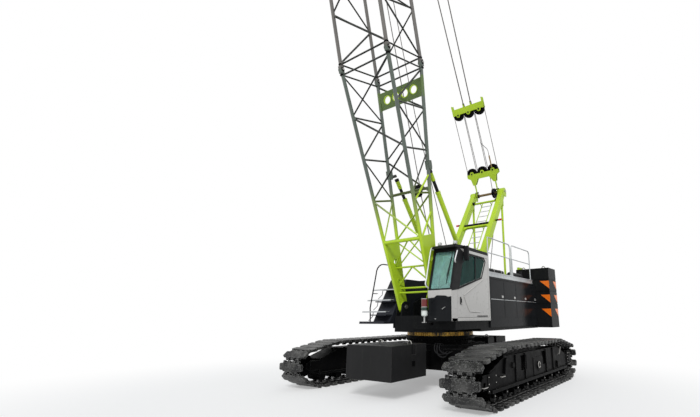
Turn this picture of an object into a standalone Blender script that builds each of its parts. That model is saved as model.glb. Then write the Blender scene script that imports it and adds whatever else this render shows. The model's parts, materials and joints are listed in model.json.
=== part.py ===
"""A crawler crane: tracks, slewing superstructure with cab and engine house, gantry, and lattice boom.

Metres, +Z up. The machine faces -Y, and its left side, with the cab, is +X. Heights are above the ground.
Each named object is one solid piece. Empties stand on the axes that pieces turn or slide about.
"""

import math

import bmesh
import bpy
from mathutils import Matrix, Vector

# Fits shared by all pieces
SEAT = 0.0003
RUNNING_GAP = 0.006
PIN_GAP = 0.0005

# Tracks
TRACK_GAUGE = 5.44
SHOE_WIDTH = 0.95
TRACK_HALF_LENGTH = 3.46
TRACK_HEIGHT = 1.25
TRACK_END_RADIUS = 0.46
TRACK_END_HEIGHT = 0.60
TRACK_SHOULDER_Y = 2.0
TRACK_TOE_Y = 2.72
SHOE_PITCH = 0.30
SHOE_THICKNESS = 0.075
SHOE_LUG = 0.035
SHOE_GAP = 0.035
CHAIN_DEPTH = 0.05
CHAIN_HALF_WIDTH = 0.19
TRACK_FRAME_WIDTH = 0.62
ROLLER_COUNT = 9
ROLLER_RADIUS = 0.12

# Carbody and its weights
CARBODY_WIDTH = 2.3
CARBODY_LENGTH = 2.3
CARBODY_BOTTOM = 0.50
CARBODY_TOP = 1.16
AXLE_Y = 0.85
AXLE_WIDTH = 0.52
CARBODY_WEIGHT_WIDTH = 1.50
CARBODY_WEIGHT_INNER_Y = 1.81
CARBODY_WEIGHT_OUTER_Y = 3.21
CARBODY_WEIGHT_BOTTOM = 0.44
CARBODY_WEIGHT_TOP = 1.245

# Slewing ring
RING_TEETH = 60
RING_RADIUS = 1.05
RING_TOOTH = 0.035
RING_BOTTOM = 1.24
RING_TOP = 1.37
RACE_RADIUS = 0.96

# Superstructure deck
DECK_BOTTOM = 1.50
DECK_TOP = 1.80
DECK_SPINE_TOP = 1.96
DECK_SPINE_WIDTH = 1.44
DECK_FRONT_Y = -1.36
DECK_SIDE_WIDTH = 2.86
WINCH_PLATE_X = 0.49
WINCH_PLATE_THICKNESS = 0.035
WINCH_PLATE_TOP = 2.86

# Houses on both sides of the winches
HOUSE_OUTER_X = 1.47
HOUSE_INNER_X = 0.80
HOUSE_FRONT_Y = 0.62
HOUSE_REAR_Y = 4.74
HOUSE_BOTTOM = 1.60
HOUSE_TOP = 3.17
HOUSE_WALL = 0.04
SKIRT_TOP = 1.88
DOOR_TOP = 3.10
DOOR_COUNT = 4
DOOR_FIRST_Y = 0.68
DOOR_PITCH = 1.01
DOOR_THICKNESS = 0.03
DOOR_GAP = 0.008
DOOR_LAP = 0.035
PIVOT_INSET = 0.006
PIVOT_RADIUS = 0.005
RIGHT_DOOR_COUNT = 2

# Cab
CAB_INNER_X = 0.745
CAB_OUTER_X = 1.50
CAB_FRONT_Y = -1.70
CAB_REAR_Y = 0.56
CAB_BOTTOM = 1.81
CAB_TOP = 3.86
CAB_WALL = 0.05
CAB_BAND_Z = 2.62
CAB_DOOR_GAP = 0.008

# Counterweight
COUNTERWEIGHT_HALF_WIDTH = 2.02
COUNTERWEIGHT_FRONT_Y = 4.80
DECK_REAR_Y = COUNTERWEIGHT_FRONT_Y - SEAT
COUNTERWEIGHT_REAR_Y = 5.89
COUNTERWEIGHT_BOTTOM = 1.51
TRAY_HEIGHT = 0.46
SLAB_COUNT = 4
SLAB_HEIGHT = 0.462
SLAB_GROOVE = 0.02
STACK_INNER_X = 0.66
COUNTERWEIGHT_CHAMFER = 0.22

# Boom
BOOM_ANGLE = 74.7
BOOM_FOOT_Y = -1.138
BOOM_FOOT_Z = 2.22
FOOT_SECTION = 7.32
INSERT_SECTION = 11.10
INSERT_COUNT = 2
HEAD_SECTION = 7.50
BOOM_WIDTH = 1.80
BOOM_DEPTH = 1.61
FOOT_WIDTH = 1.20
FOOT_DEPTH = 0.26
FOOT_PLATE_LENGTH = 2.01
FOOT_PLATE_THICKNESS = 0.09
FOOT_EYE_RADIUS = 0.17
FOOT_PIN_RADIUS = 0.07
HEAD_WIDTH = 0.86
HEAD_DEPTH = 0.80
CHORD_RADIUS = 0.055
CHORD_END = 0.03
LACING_RADIUS = 0.03
FOOT_PANELS = 4
INSERT_PANELS = 7
HEAD_PANELS = 4

# Head gear
SHEAVE_RADIUS = 0.36
SHEAVE_ROPE_RADIUS = 0.30
SHEAVE_WIDTH = 0.09
HEAD_SHAFT_RADIUS = 0.05
HEAD_SHAFT = (-0.62, HEAD_SECTION - 0.22)
PENDANT_LUG = (HEAD_DEPTH / 2 + 0.36, HEAD_SECTION - 0.75)
HEAD_PLATE_X = HEAD_WIDTH / 2 + 0.03
ROPE_RADIUS = 0.014
HOOK_DROP = 3.4
HOOK_SHANK_RADIUS = 0.05

# Gantry
GANTRY_HALF_WIDTH = 0.664
GANTRY_FOOT_Y = 0.93
GANTRY_FOOT_Z = 2.75
GANTRY_TOP_Y = 3.80
GANTRY_TOP_Z = 7.00
MAST_WIDTH = 0.20
MAST_DEPTH = 0.24
STRUT_Y = 3.70
STRUT_FOOT_Z = 2.20
STRUT_RADIUS = 0.045
AXLE_RADIUS = 0.05

# Luffing gear
LOWER_BAIL_REACH = 1.0
UPPER_BAIL_REACH = 3.56
BAIL_SHEAVE_RADIUS = 0.19
BAIL_SHEAVE_SPACING = 0.36
PENDANT_RADIUS = 0.022
PENDANT_BAIL_X = 0.17

# Backstops
BACKSTOP_X = 0.66
BACKSTOP_Y = 0.72
BACKSTOP_Z = 3.35
BACKSTOP_SEAT_S = 4.05
BACKSTOP_SEAT_N = 0.70
BACKSTOP_PIN_RADIUS = 0.03
BACKSTOP_TUBE_RADIUS = 0.075
BACKSTOP_ROD_RADIUS = 0.052
BACKSTOP_TUBE_LENGTH = 2.45

# Steps beside the winches
STEP_BASE = 1.78
STEP_PLATE_REAR_Y = -0.60

# Winch drums: name, place along the deck, height and flange radius
WINCHES = (
    ("main_hoist_drum", 0.22, 2.42, 0.40),
    ("auxiliary_hoist_drum", 1.50, 2.42, 0.40),
    ("luffing_drum", 2.66, 2.42, 0.36),
)
DRUM_HALF_LENGTH = 0.43
DRUM_SHAFT_RADIUS = 0.07

# Rope guide behind the foot section
GUIDE_X = 0.12
GUIDE_S = 3.45
GUIDE_RISE = 0.25
GUIDE_SHAFT_RADIUS = 0.035

BOOM_LENGTH = FOOT_SECTION + INSERT_COUNT * INSERT_SECTION + HEAD_SECTION
BOOM_TILT = math.radians(90 - BOOM_ANGLE)

# Colours with roughness and metallic value
LIME = ("lime_paint", (0.46, 0.66, 0.03), 0.40, 0.0)
STEEL_GREEN = ("grey_green_paint", (0.33, 0.38, 0.30), 0.50, 0.0)
STEEL_GREY = ("grey_brown_paint", (0.30, 0.30, 0.27), 0.50, 0.0)
CHARCOAL = ("charcoal_paint", (0.035, 0.038, 0.043), 0.30, 0.0)
BLACK = ("black_paint", (0.018, 0.018, 0.019), 0.45, 0.2)
SHOE_STEEL = ("worn_shoe_steel", (0.06, 0.06, 0.06), 0.42, 0.7)
GREASED = ("greased_ring_teeth", (0.40, 0.26, 0.06), 0.35, 0.8)
CAB_GREY = ("warm_light_grey_paint", (0.60, 0.60, 0.57), 0.35, 0.0)
GALVANISED = ("galvanised_steel", (0.62, 0.64, 0.65), 0.40, 0.8)
GLASS = ("tinted_glass", (0.03, 0.09, 0.08), 0.05, 0.0)
FABRIC = ("seat_fabric", (0.03, 0.03, 0.035), 0.90, 0.0)
WIRE = ("steel_wire", (0.20, 0.20, 0.20), 0.45, 0.8)

MATERIALS = {}


def clear_scene():
    for obj in list(bpy.data.objects):
        bpy.data.objects.remove(obj, do_unlink=True)


clear_scene()
PARTS = bpy.data.collections.new("crawler_crane")
bpy.context.scene.collection.children.link(PARTS)


def material(finish):
    """The Principled material of one of the finishes above."""
    name, colour, roughness, metallic = finish
    if name not in MATERIALS:
        made = bpy.data.materials.new(name)
        made.use_nodes = True
        shader = made.node_tree.nodes["Principled BSDF"]
        shader.inputs["Base Color"].default_value = (*colour, 1.0)
        shader.inputs["Roughness"].default_value = roughness
        shader.inputs["Metallic"].default_value = metallic
        MATERIALS[name] = made
    return MATERIALS[name]


def empty(name, parent=None, location=(0, 0, 0), rotation=(0, 0, 0)):
    marker = bpy.data.objects.new(name, None)
    marker.location = location
    marker.rotation_euler = rotation
    marker.parent = parent
    PARTS.objects.link(marker)
    return marker


def baked(obj):
    """The object's evaluated mesh, with its loose caps welded on. The object is removed."""
    bpy.context.view_layer.update()
    evaluated = obj.evaluated_get(bpy.context.evaluated_depsgraph_get())
    mesh = bpy.data.meshes.new_from_object(evaluated)
    bpy.data.objects.remove(obj, do_unlink=True)
    shape = bmesh.new()
    shape.from_mesh(mesh)
    bmesh.ops.remove_doubles(shape, verts=shape.verts, dist=0.00005)
    bmesh.ops.recalc_face_normals(shape, faces=shape.faces)
    shape.to_mesh(mesh)
    shape.free()
    return mesh


def loose(data):
    """A temporary object for a mesh or a curve."""
    obj = bpy.data.objects.new("blank", data)
    PARTS.objects.link(obj)
    return obj


def box(low, high, turn=None):
    """A block between two corners, turned by a matrix where one is given."""
    low, high = Vector(low), Vector(high)
    shape = bmesh.new()
    bmesh.ops.create_cube(shape, size=1.0)
    bmesh.ops.scale(shape, vec=high - low, verts=shape.verts)
    bmesh.ops.translate(shape, vec=(low + high) / 2, verts=shape.verts)
    if turn is not None:
        bmesh.ops.transform(shape, matrix=turn, verts=shape.verts)
    return mesh_of(shape)


def mesh_of(shape):
    mesh = bpy.data.meshes.new("blank")
    shape.to_mesh(mesh)
    shape.free()
    return mesh


def bore(start, end, pin_radius, sides, spin=0.5):
    """A cutter for a faceted bore whose flats just clear a pin of the given radius."""
    return rod(start, end, (pin_radius + PIN_GAP) / math.cos(math.pi / sides), sides, spin)


def rod(start, end, radius, sides=8, spin=0.0):
    """A round bar from one point to another, turned about itself by a share of one facet."""
    start, end = Vector(start), Vector(end)
    run = end - start
    turn = Vector((0, 0, 1)).rotation_difference(run).to_matrix().to_4x4()
    turn = turn @ Matrix.Rotation(2 * math.pi * spin / sides, 4, "Z")
    shape = bmesh.new()
    bmesh.ops.create_cone(
        shape,
        cap_ends=True,
        segments=sides,
        radius1=radius,
        radius2=radius,
        depth=run.length,
        matrix=Matrix.Translation((start + end) / 2) @ turn,
    )
    return mesh_of(shape)


def cross_rod(x_low, x_high, y, z, radius, sides=12):
    """A round bar across the machine."""
    return rod((x_low, y, z), (x_high, y, z), radius, sides)


def plate(outline, low, high, facing="X", holes=()):
    """A flat plate: its outline is in (y, z) when it faces X, (x, z) for Y and (x, y) for Z."""
    curve = bpy.data.curves.new("blank", "CURVE")
    curve.dimensions = "2D"
    curve.fill_mode = "BOTH"
    curve.extrude = (high - low) / 2
    for ring in (outline, *holes):
        spline = curve.splines.new("POLY")
        spline.points.add(len(ring) - 1)
        spline.use_cyclic_u = True
        for point, (u, v) in zip(spline.points, ring):
            point.co = (u, v, 0, 1)
    mesh = baked(loose(curve))
    middle = (low + high) / 2
    placings = {
        "X": Matrix(((0, 0, 1, middle), (1, 0, 0, 0), (0, 1, 0, 0), (0, 0, 0, 1))),
        "Y": Matrix(((1, 0, 0, 0), (0, 0, -1, middle), (0, 1, 0, 0), (0, 0, 0, 1))),
        "Z": Matrix.Translation((0, 0, middle)),
    }
    mesh.transform(placings[facing])
    return mesh


def arc(centre, radius, start, end, steps):
    """Points on a circle from one angle to another, in degrees."""
    angles = (math.radians(start + (end - start) * i / steps) for i in range(steps + 1))
    return [(centre[0] + radius * math.cos(a), centre[1] + radius * math.sin(a)) for a in angles]


def circle(centre, radius, steps=12):
    return arc(centre, radius, 0, 360 - 360 / steps, steps - 1)


def turned(profile, along="X", steps=24, place=(0, 0, 0)):
    """A turned piece from (radius, position) points that start and end on the axis."""
    shape = bmesh.new()
    points = [shape.verts.new((radius, 0, position)) for radius, position in profile]
    for first, second in zip(points, points[1:]):
        shape.edges.new((first, second))
    obj = loose(mesh_of(shape))
    screw = obj.modifiers.new("turn", "SCREW")
    screw.steps = screw.render_steps = steps
    screw.use_merge_vertices = True
    screw.merge_threshold = 0.0001
    mesh = baked(obj)
    if along == "X":
        mesh.transform(Matrix.Rotation(math.pi / 2, 4, "Y"))
    mesh.transform(Matrix.Translation(place))
    return mesh


def pipe(points, radius, sides_level=1):
    """A bent tube through the points."""
    curve = bpy.data.curves.new("blank", "CURVE")
    curve.dimensions = "3D"
    curve.bevel_depth = radius
    curve.bevel_resolution = sides_level
    curve.use_fill_caps = True
    spline = curve.splines.new("POLY")
    spline.points.add(len(points) - 1)
    for point, place in zip(spline.points, points):
        point.co = (*place, 1)
    return baked(loose(curve))


def helper_collection(name, meshes):
    group = bpy.data.collections.new(name)
    group.hide_render = True
    bpy.context.scene.collection.children.link(group)
    for mesh in meshes:
        obj = bpy.data.objects.new(name, mesh)
        obj.hide_render = True
        obj.display_type = "WIRE"
        group.objects.link(obj)
    return group


def drop_helpers(group):
    for obj in list(group.objects):
        bpy.data.objects.remove(obj, do_unlink=True)
    bpy.data.collections.remove(group)


def fused(meshes, cuts=(), solver="EXACT"):
    """One closed mesh: the meshes joined, with the cuts taken out of them."""
    obj = loose(meshes[0])
    groups = []
    for operation, others in (("UNION", meshes[1:]), ("DIFFERENCE", cuts)):
        if not others:
            continue
        group = helper_collection(operation.lower() + "_shapes", others)
        groups.append(group)
        change = obj.modifiers.new(operation.lower(), "BOOLEAN")
        change.operation = operation
        change.solver = solver
        change.operand_type = "COLLECTION"
        change.collection = group
    mesh = baked(obj)
    for group in groups:
        drop_helpers(group)
    return mesh


def piece(name, mesh, finish, parent, location=(0, 0, 0), rotation=(0, 0, 0), smooth=True):
    """A named sub-part, placed on its parent."""
    mesh.name = name
    mesh.materials.clear()
    mesh.materials.append(material(finish))
    if smooth:
        mesh.shade_smooth()
        mesh.set_sharp_from_angle(angle=math.radians(35))
    obj = bpy.data.objects.new(name, mesh)
    obj.location = location
    obj.rotation_euler = rotation
    obj.parent = parent
    PARTS.objects.link(obj)
    return obj


def mirrored(mesh):
    """A copy of the mesh for the other side of the machine."""
    other = mesh.copy()
    other.transform(Matrix.Scale(-1, 4, (1, 0, 0)))
    other.flip_normals()
    return other


def track_path():
    """The loop of the shoes' pins seen from the side, as (y, z) points from the rear toe round to it."""
    pin_radius = TRACK_END_RADIUS - SHOE_THICKNESS - SHOE_LUG
    centre_y = TRACK_HALF_LENGTH - TRACK_END_RADIUS
    ground = SHOE_THICKNESS + SHOE_LUG
    top = TRACK_HEIGHT - SHOE_THICKNESS - SHOE_LUG
    rear = arc((centre_y, TRACK_END_HEIGHT), pin_radius, -70, 75, 14)
    front = [(-y, z) for y, z in reversed(rear)]
    half_top = [(TRACK_SHOULDER_Y, top), (-TRACK_SHOULDER_Y, top)]
    half_ground = [(-TRACK_TOE_Y, ground), (TRACK_TOE_Y, ground)]
    return rear + half_top + front + half_ground


def walk(path, count):
    """Evenly spaced points and directions on a closed path."""
    points = [Vector((0, y, z)) for y, z in path]
    ends = points[1:] + points[:1]
    lengths = [(b - a).length for a, b in zip(points, ends)]
    total = sum(lengths)
    places = []
    for i in range(count):
        left = total * i / count
        for a, b, length in zip(points, ends, lengths):
            if left <= length:
                places.append((a.lerp(b, left / length), (b - a).normalized()))
                break
            left -= length
    return places


def shoe_outline(path):
    """The outer outline of the loop: each shoe stands out of the chain and has a raised bar."""
    total = sum(math.dist(a, b) for a, b in zip(path, path[1:] + path[:1]))
    count = round(total / SHOE_PITCH)
    half = (total / count - SHOE_GAP) / 2
    lug = SHOE_THICKNESS + SHOE_LUG
    section = ((-half, 0), (-half, SHOE_THICKNESS), (-0.04, lug), (0.04, lug), (half, SHOE_THICKNESS), (half, 0))
    outline = []
    for place, run in walk(path, count):
        away = Vector((0, run.z, -run.y))
        for along, out in section:
            point = place + run * along + away * out
            outline.append((point.y, point.z))
    return outline


def make_tracks(root):
    """Each track is one closed loop of shoes on a narrower chain."""
    path = track_path()
    half = SHOE_WIDTH / 2
    shoes = plate(shoe_outline(path), -half, half, holes=(inset_loop(path, 0.02),))
    chain = plate(inset_loop(path, 0.005), -CHAIN_HALF_WIDTH, CHAIN_HALF_WIDTH, holes=(inset_loop(path, CHAIN_DEPTH),))
    loop = fused([shoes, chain], solver="MANIFOLD")
    for side, name in ((1, "track_left"), (-1, "track_right")):
        mesh = loop if side > 0 else loop.copy()
        piece(name, mesh, SHOE_STEEL, root, (side * TRACK_GAUGE / 2, 0, 0), smooth=False)


def inset_loop(path, distance):
    """The closed path moved inwards, or outwards for a negative distance."""
    moved = []
    count = len(path)
    for i in range(count):
        before, here, after = (Vector(path[(i + k) % count]) for k in (-1, 0, 1))
        first = (here - before).normalized()
        second = (after - here).normalized()
        normal_a = Vector((-first.y, first.x))
        normal_b = Vector((-second.y, second.x))
        bisector = (normal_a + normal_b).normalized()
        moved.append(tuple(here + bisector * distance / max(0.3, bisector.dot(normal_a))))
    return moved


def make_track_frames(root):
    """Side frames with their rollers, and a sprocket and an idler in the track's ends."""
    half = TRACK_FRAME_WIDTH / 2
    end_y = TRACK_HALF_LENGTH - TRACK_END_RADIUS
    wheel_radius = TRACK_END_RADIUS - SHOE_THICKNESS - SHOE_LUG - CHAIN_DEPTH - RUNNING_GAP
    chain_top = TRACK_HEIGHT - SHOE_THICKNESS - SHOE_LUG - CHAIN_DEPTH
    chain_ground = SHOE_THICKNESS + SHOE_LUG + CHAIN_DEPTH
    beam_top = chain_top - 0.06
    beam_bottom = chain_ground + ROLLER_RADIUS + 0.07
    fork_y = end_y - wheel_radius - 0.04
    outline = [
        (-fork_y, beam_bottom + 0.05),
        (fork_y, beam_bottom + 0.05),
        (fork_y, TRACK_END_HEIGHT + 0.17),
        (TRACK_SHOULDER_Y - 0.1, beam_top),
        (0.1 - TRACK_SHOULDER_Y, beam_top),
        (-fork_y, TRACK_END_HEIGHT + 0.17),
    ]
    beam = plate(outline, -half, half)
    parts = [beam]
    flange = [(-fork_y, beam_bottom), (fork_y, beam_bottom), (fork_y, beam_bottom + 0.06), (-fork_y, beam_bottom + 0.06)]
    parts.append(plate(flange, -half - 0.06, half + 0.06))
    for i in range(ROLLER_COUNT):
        y = (i / (ROLLER_COUNT - 1) - 0.5) * 2 * (TRACK_TOE_Y - 0.22)
        axis_z = chain_ground + ROLLER_RADIUS + SEAT
        parts.append(cross_rod(-half + 0.04, half - 0.04, y, axis_z, ROLLER_RADIUS, 8))
    arm = 0.05
    for side in (-1, 1):
        for end in (-1, 1):
            y0, y1 = sorted((end * (fork_y - 0.05), end * end_y))
            x0, x1 = sorted((side * half, side * (half - arm)))
            parts.append(box((x0, y0, TRACK_END_HEIGHT - 0.13), (x1, y1, TRACK_END_HEIGHT + 0.13)))
    cuts = []
    for pocket_y in (-0.75, 0.75):
        low, high = (half - 0.10, pocket_y - 0.19, 0.62), (half + 0.1, pocket_y + 0.19, 0.98)
        cuts.append(box(low, high))
    for side in (-1, 1):
        mirror = Matrix.Scale(side, 4, (1, 0, 0))
        shapes = [mesh.copy() for mesh in parts]
        holes = [mesh.copy() for mesh in cuts]
        for mesh in shapes + holes:
            mesh.transform(mirror)
            if side < 0:
                mesh.flip_normals()
        frame = fused(shapes, holes)
        name = "track_frame_left" if side > 0 else "track_frame_right"
        piece(name, frame, BLACK, root, (side * TRACK_GAUGE / 2, 0, 0))
    hub_half = half - arm - SEAT
    hub = 0.11
    for side, label in ((1, "left"), (-1, "right")):
        for end, wheel in ((-1, "idler"), (1, "sprocket")):
            rim = wheel_radius
            profile = [
                (0, -hub_half),
                (hub, -hub_half),
                (hub, -0.11),
                (rim * 0.9, -0.11),
                (rim, -0.08),
                (rim, 0.08),
                (rim * 0.9, 0.11),
                (hub, 0.11),
                (hub, hub_half),
                (0, hub_half),
            ]
            mesh = turned(list(reversed(profile)), steps=14)
            piece(f"{wheel}_{label}", mesh, BLACK, root, (side * TRACK_GAUGE / 2, end * end_y, TRACK_END_HEIGHT))


def make_carbody(root):
    """The centre frame between the tracks, its weights and the toothed half of the slewing ring."""
    half_w, half_l = CARBODY_WIDTH / 2, CARBODY_LENGTH / 2
    frame_face = TRACK_GAUGE / 2 - TRACK_FRAME_WIDTH / 2 - SEAT
    corner = 0.35
    outline = [
        (half_w, -half_l + corner), (half_w, half_l - corner), (half_w - corner, half_l), (corner - half_w, half_l),
        (-half_w, half_l - corner), (-half_w, corner - half_l), (corner - half_w, -half_l), (half_w - corner, -half_l),
    ]
    parts = [plate(outline, CARBODY_BOTTOM, CARBODY_TOP, "Z")]
    for side in (-1, 1):
        y = side * AXLE_Y
        low = (-frame_face, y - AXLE_WIDTH / 2, CARBODY_BOTTOM + 0.08)
        high = (frame_face, y + AXLE_WIDTH / 2, CARBODY_TOP - 0.1)
        parts.append(box(low, high))
        inner, outer = CARBODY_WEIGHT_INNER_Y - SEAT, half_l - 0.05
        y0, y1 = sorted((side * inner, side * outer))
        parts.append(box((-0.42, y0, CARBODY_BOTTOM + 0.1), (0.42, y1, CARBODY_TOP - 0.2)))
    parts.append(rod((0, 0, CARBODY_TOP - 0.05), (0, 0, RING_BOTTOM - SEAT), RACE_RADIUS + 0.04, 20))
    piece("carbody", fused(parts), BLACK, root)
    half = CARBODY_WEIGHT_WIDTH / 2
    for side, name in ((-1, "front_carbody_weight"), (1, "rear_carbody_weight")):
        y0, y1 = sorted((side * CARBODY_WEIGHT_INNER_Y, side * CARBODY_WEIGHT_OUTER_Y))
        block = box((-half, y0, CARBODY_WEIGHT_BOTTOM), (half, y1, CARBODY_WEIGHT_TOP))
        pocket_y = side * (CARBODY_WEIGHT_INNER_Y + 0.55)
        pocket = box((half - 0.07, pocket_y - 0.1, 1.0), (half + 0.1, pocket_y + 0.1, CARBODY_WEIGHT_TOP + 0.1))
        piece(name, fused([block], [pocket]), CHARCOAL, root, smooth=False)
    ring = []
    for i in range(RING_TEETH * 2):
        radius = RING_RADIUS if i % 2 else RING_RADIUS - RING_TOOTH
        angle = math.pi * i / RING_TEETH
        ring.append((radius * math.cos(angle), radius * math.sin(angle)))
    inside = circle((0, 0), RACE_RADIUS - 0.12, 16)
    piece("slewing_ring", plate(ring, RING_BOTTOM, RING_TOP, "Z", holes=(inside,)), GREASED, root, smooth=False)


def make_deck(house):
    """The slewing frame: spine with winch plates, side wings, boom lugs, and seats for gantry and backstops."""
    half = DECK_SPINE_WIDTH / 2
    wing = DECK_SIDE_WIDTH / 2
    parts = [
        box((-half, DECK_FRONT_Y, DECK_BOTTOM), (half, DECK_REAR_Y, DECK_SPINE_TOP)),
        box((-wing, HOUSE_FRONT_Y - 0.6, DECK_BOTTOM), (wing, DECK_REAR_Y, HOUSE_BOTTOM - SEAT)),
        box((0, CAB_FRONT_Y + 0.3, DECK_BOTTOM + 0.08), (wing, HOUSE_FRONT_Y - SEAT, CAB_BOTTOM - SEAT)),
        box((-wing, STEP_PLATE_REAR_Y + SEAT, DECK_BOTTOM + 0.08), (0, HOUSE_FRONT_Y - SEAT, STEP_BASE - SEAT)),
        rod((0, 0, RING_TOP + SEAT), (0, 0, DECK_BOTTOM + 0.05), RACE_RADIUS, 20),
    ]
    outline = [
        (DECK_FRONT_Y + 0.62, DECK_SPINE_TOP - 0.05),
        (DECK_REAR_Y - 0.6, DECK_SPINE_TOP - 0.05),
        (DECK_REAR_Y - 0.6, 2.5),
        (GANTRY_FOOT_Y + 2.3, WINCH_PLATE_TOP),
        (GANTRY_FOOT_Y - 0.35, WINCH_PLATE_TOP),
        (DECK_FRONT_Y + 0.62, 2.35),
    ]
    cuts = []
    for side in (-1, 1):
        x0, x1 = sorted((side * WINCH_PLATE_X, side * (WINCH_PLATE_X + WINCH_PLATE_THICKNESS)))
        parts.append(plate(outline, x0, x1))
        lug = [
            (BOOM_FOOT_Y - 0.21, DECK_SPINE_TOP - 0.05), (BOOM_FOOT_Y + 0.24, DECK_SPINE_TOP - 0.05),
            *arc((BOOM_FOOT_Y, BOOM_FOOT_Z), 0.17, 0, 180, 8),
        ]
        leg = FOOT_WIDTH / 2
        gap = FOOT_PLATE_THICKNESS / 2 + 0.03
        for inner, outer in ((leg - gap - 0.045, leg - gap), (leg + gap, leg + gap + 0.03)):
            x0, x1 = sorted((side * inner, side * outer))
            parts.append(plate(lug, x0, x1))
        x0, x1 = sorted((side * (leg - gap - 0.03), side * (leg + gap + 0.015)))
        parts.append(cross_rod(x0, x1, BOOM_FOOT_Y, BOOM_FOOT_Z, FOOT_PIN_RADIUS))
        mast_face = GANTRY_HALF_WIDTH - MAST_WIDTH / 2 - SEAT
        x0, x1 = sorted((side * (WINCH_PLATE_X + 0.01), side * mast_face))
        parts.append(box((x0, BACKSTOP_Y - 0.11, DECK_SPINE_TOP - 0.05), (x1, BACKSTOP_Y + 0.09, BACKSTOP_Z + 0.1)))
        x0, x1 = sorted((side * (mast_face - 0.02), side * (BACKSTOP_X + 0.035)))
        parts.append(cross_rod(x0, x1, BACKSTOP_Y, BACKSTOP_Z, BACKSTOP_PIN_RADIUS, 10))
        x0, x1 = sorted((side * (WINCH_PLATE_X + 0.01), side * mast_face))
        foot = (x0, GANTRY_FOOT_Y - 0.2, DECK_SPINE_TOP - 0.05), (x1, GANTRY_FOOT_Y + 0.3, GANTRY_FOOT_Z + 0.08)
        parts.append(box(*foot))
        for _, y, z, _ in WINCHES:
            x0, x1 = sorted((side * (WINCH_PLATE_X - 0.1), side * (WINCH_PLATE_X + 0.1)))
            cuts.append(bore((x0, y, z), (x1, y, z), DRUM_SHAFT_RADIUS, 16))
    for y in (2.07, DECK_REAR_Y - 0.12):
        parts.append(box((-WINCH_PLATE_X - 0.01, y, DECK_SPINE_TOP - 0.05), (WINCH_PLATE_X + 0.01, y + 0.05, 2.1)))
    piece("deck", fused(parts, cuts), CHARCOAL, house, smooth=False)


def make_winches(house):
    """Three drums that turn between the winch plates."""
    reach = WINCH_PLATE_X + WINCH_PLATE_THICKNESS
    for name, y, z, flange in WINCHES:
        core = flange - 0.14
        half = DRUM_HALF_LENGTH
        shaft = DRUM_SHAFT_RADIUS
        profile = [
            (0, reach), (shaft, reach), (shaft, half), (flange, half), (flange, half - 0.03),
            (core, half - 0.03), (core, 0.03 - half), (flange, 0.03 - half), (flange, -half),
            (shaft, -half), (shaft, -reach), (0, -reach),
        ]
        axis = empty(name + "_axis", house, (0, y, z))
        piece(name, turned(profile, steps=16), LIME, axis)


def house_shell(side):
    """One side house as walls round an empty bay, open where its doors stand."""
    low = (HOUSE_INNER_X, HOUSE_FRONT_Y, HOUSE_BOTTOM)
    high = (HOUSE_OUTER_X, HOUSE_REAR_Y, HOUSE_TOP)
    wall = HOUSE_WALL
    shell = box(low, high)
    bay = box(
        (low[0] + wall, low[1] + wall, low[2] + wall),
        (high[0] - wall, high[1] - wall, high[2] - wall),
    )
    count = DOOR_COUNT if side > 0 else RIGHT_DOOR_COUNT
    end_y = DOOR_FIRST_Y + count * DOOR_PITCH
    face = high[0]
    cuts = [bay, box((face - DOOR_THICKNESS - 0.002, DOOR_FIRST_Y, SKIRT_TOP), (face + 0.1, end_y, DOOR_TOP))]
    for i in range(count):
        y = DOOR_FIRST_Y + i * DOOR_PITCH
        opening_low = (face - wall - 0.02, y + DOOR_LAP, SKIRT_TOP + DOOR_LAP)
        opening_high = (face + 0.2, y + DOOR_PITCH - DOOR_LAP, DOOR_TOP - DOOR_LAP)
        cuts.append(box(opening_low, opening_high))
    mesh = fused([shell], cuts)
    if side < 0:
        mesh = mirrored(mesh)
    return mesh


def make_houses(house):
    """The two machine houses, the engine block and the hinged side doors."""
    piece("house_left", house_shell(1), CHARCOAL, house, smooth=False)
    piece("house_right", house_shell(-1), CHARCOAL, house, smooth=False)
    floor = HOUSE_BOTTOM + HOUSE_WALL + SEAT
    engine = box((HOUSE_INNER_X + 0.09, 2.5, floor), (HOUSE_OUTER_X - 0.12, 3.9, 2.75))
    piece("engine", engine, BLACK, house, smooth=False)
    for side, label, count in ((1, "left", DOOR_COUNT), (-1, "right", RIGHT_DOOR_COUNT)):
        for i in range(count):
            y = DOOR_FIRST_Y + i * DOOR_PITCH
            x, y = side * (HOUSE_OUTER_X - PIVOT_INSET), y + DOOR_GAP + PIVOT_INSET
            hinge = empty(f"side_door_{label}_{i + 1}_hinge", house, (x, y, 0))
            width = DOOR_PITCH - 2 * DOOR_GAP
            leaf = box((-DOOR_THICKNESS, 0, SKIRT_TOP + DOOR_GAP), (0, width, DOOR_TOP - DOOR_GAP))
            groove = box((-0.008, -0.1, 2.47), (0.1, width + 0.1, 2.495))
            latch = box((-0.01, width - 0.14, 2.53), (0.012, width - 0.06, 2.59))
            mesh = fused([leaf], [groove])
            mesh.transform(Matrix.Translation((PIVOT_INSET, -PIVOT_INSET, 0)))
            latch.transform(Matrix.Translation((PIVOT_INSET, -PIVOT_INSET, 0)))
            pivots = rod((0, 0, SKIRT_TOP + SEAT), (0, 0, DOOR_TOP - SEAT), PIVOT_RADIUS, 6)
            mesh = fused([mesh, latch, pivots])
            if side < 0:
                mesh = mirrored(mesh)
            piece(f"side_door_{label}_{i + 1}", mesh, CHARCOAL, hinge, smooth=False)


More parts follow.
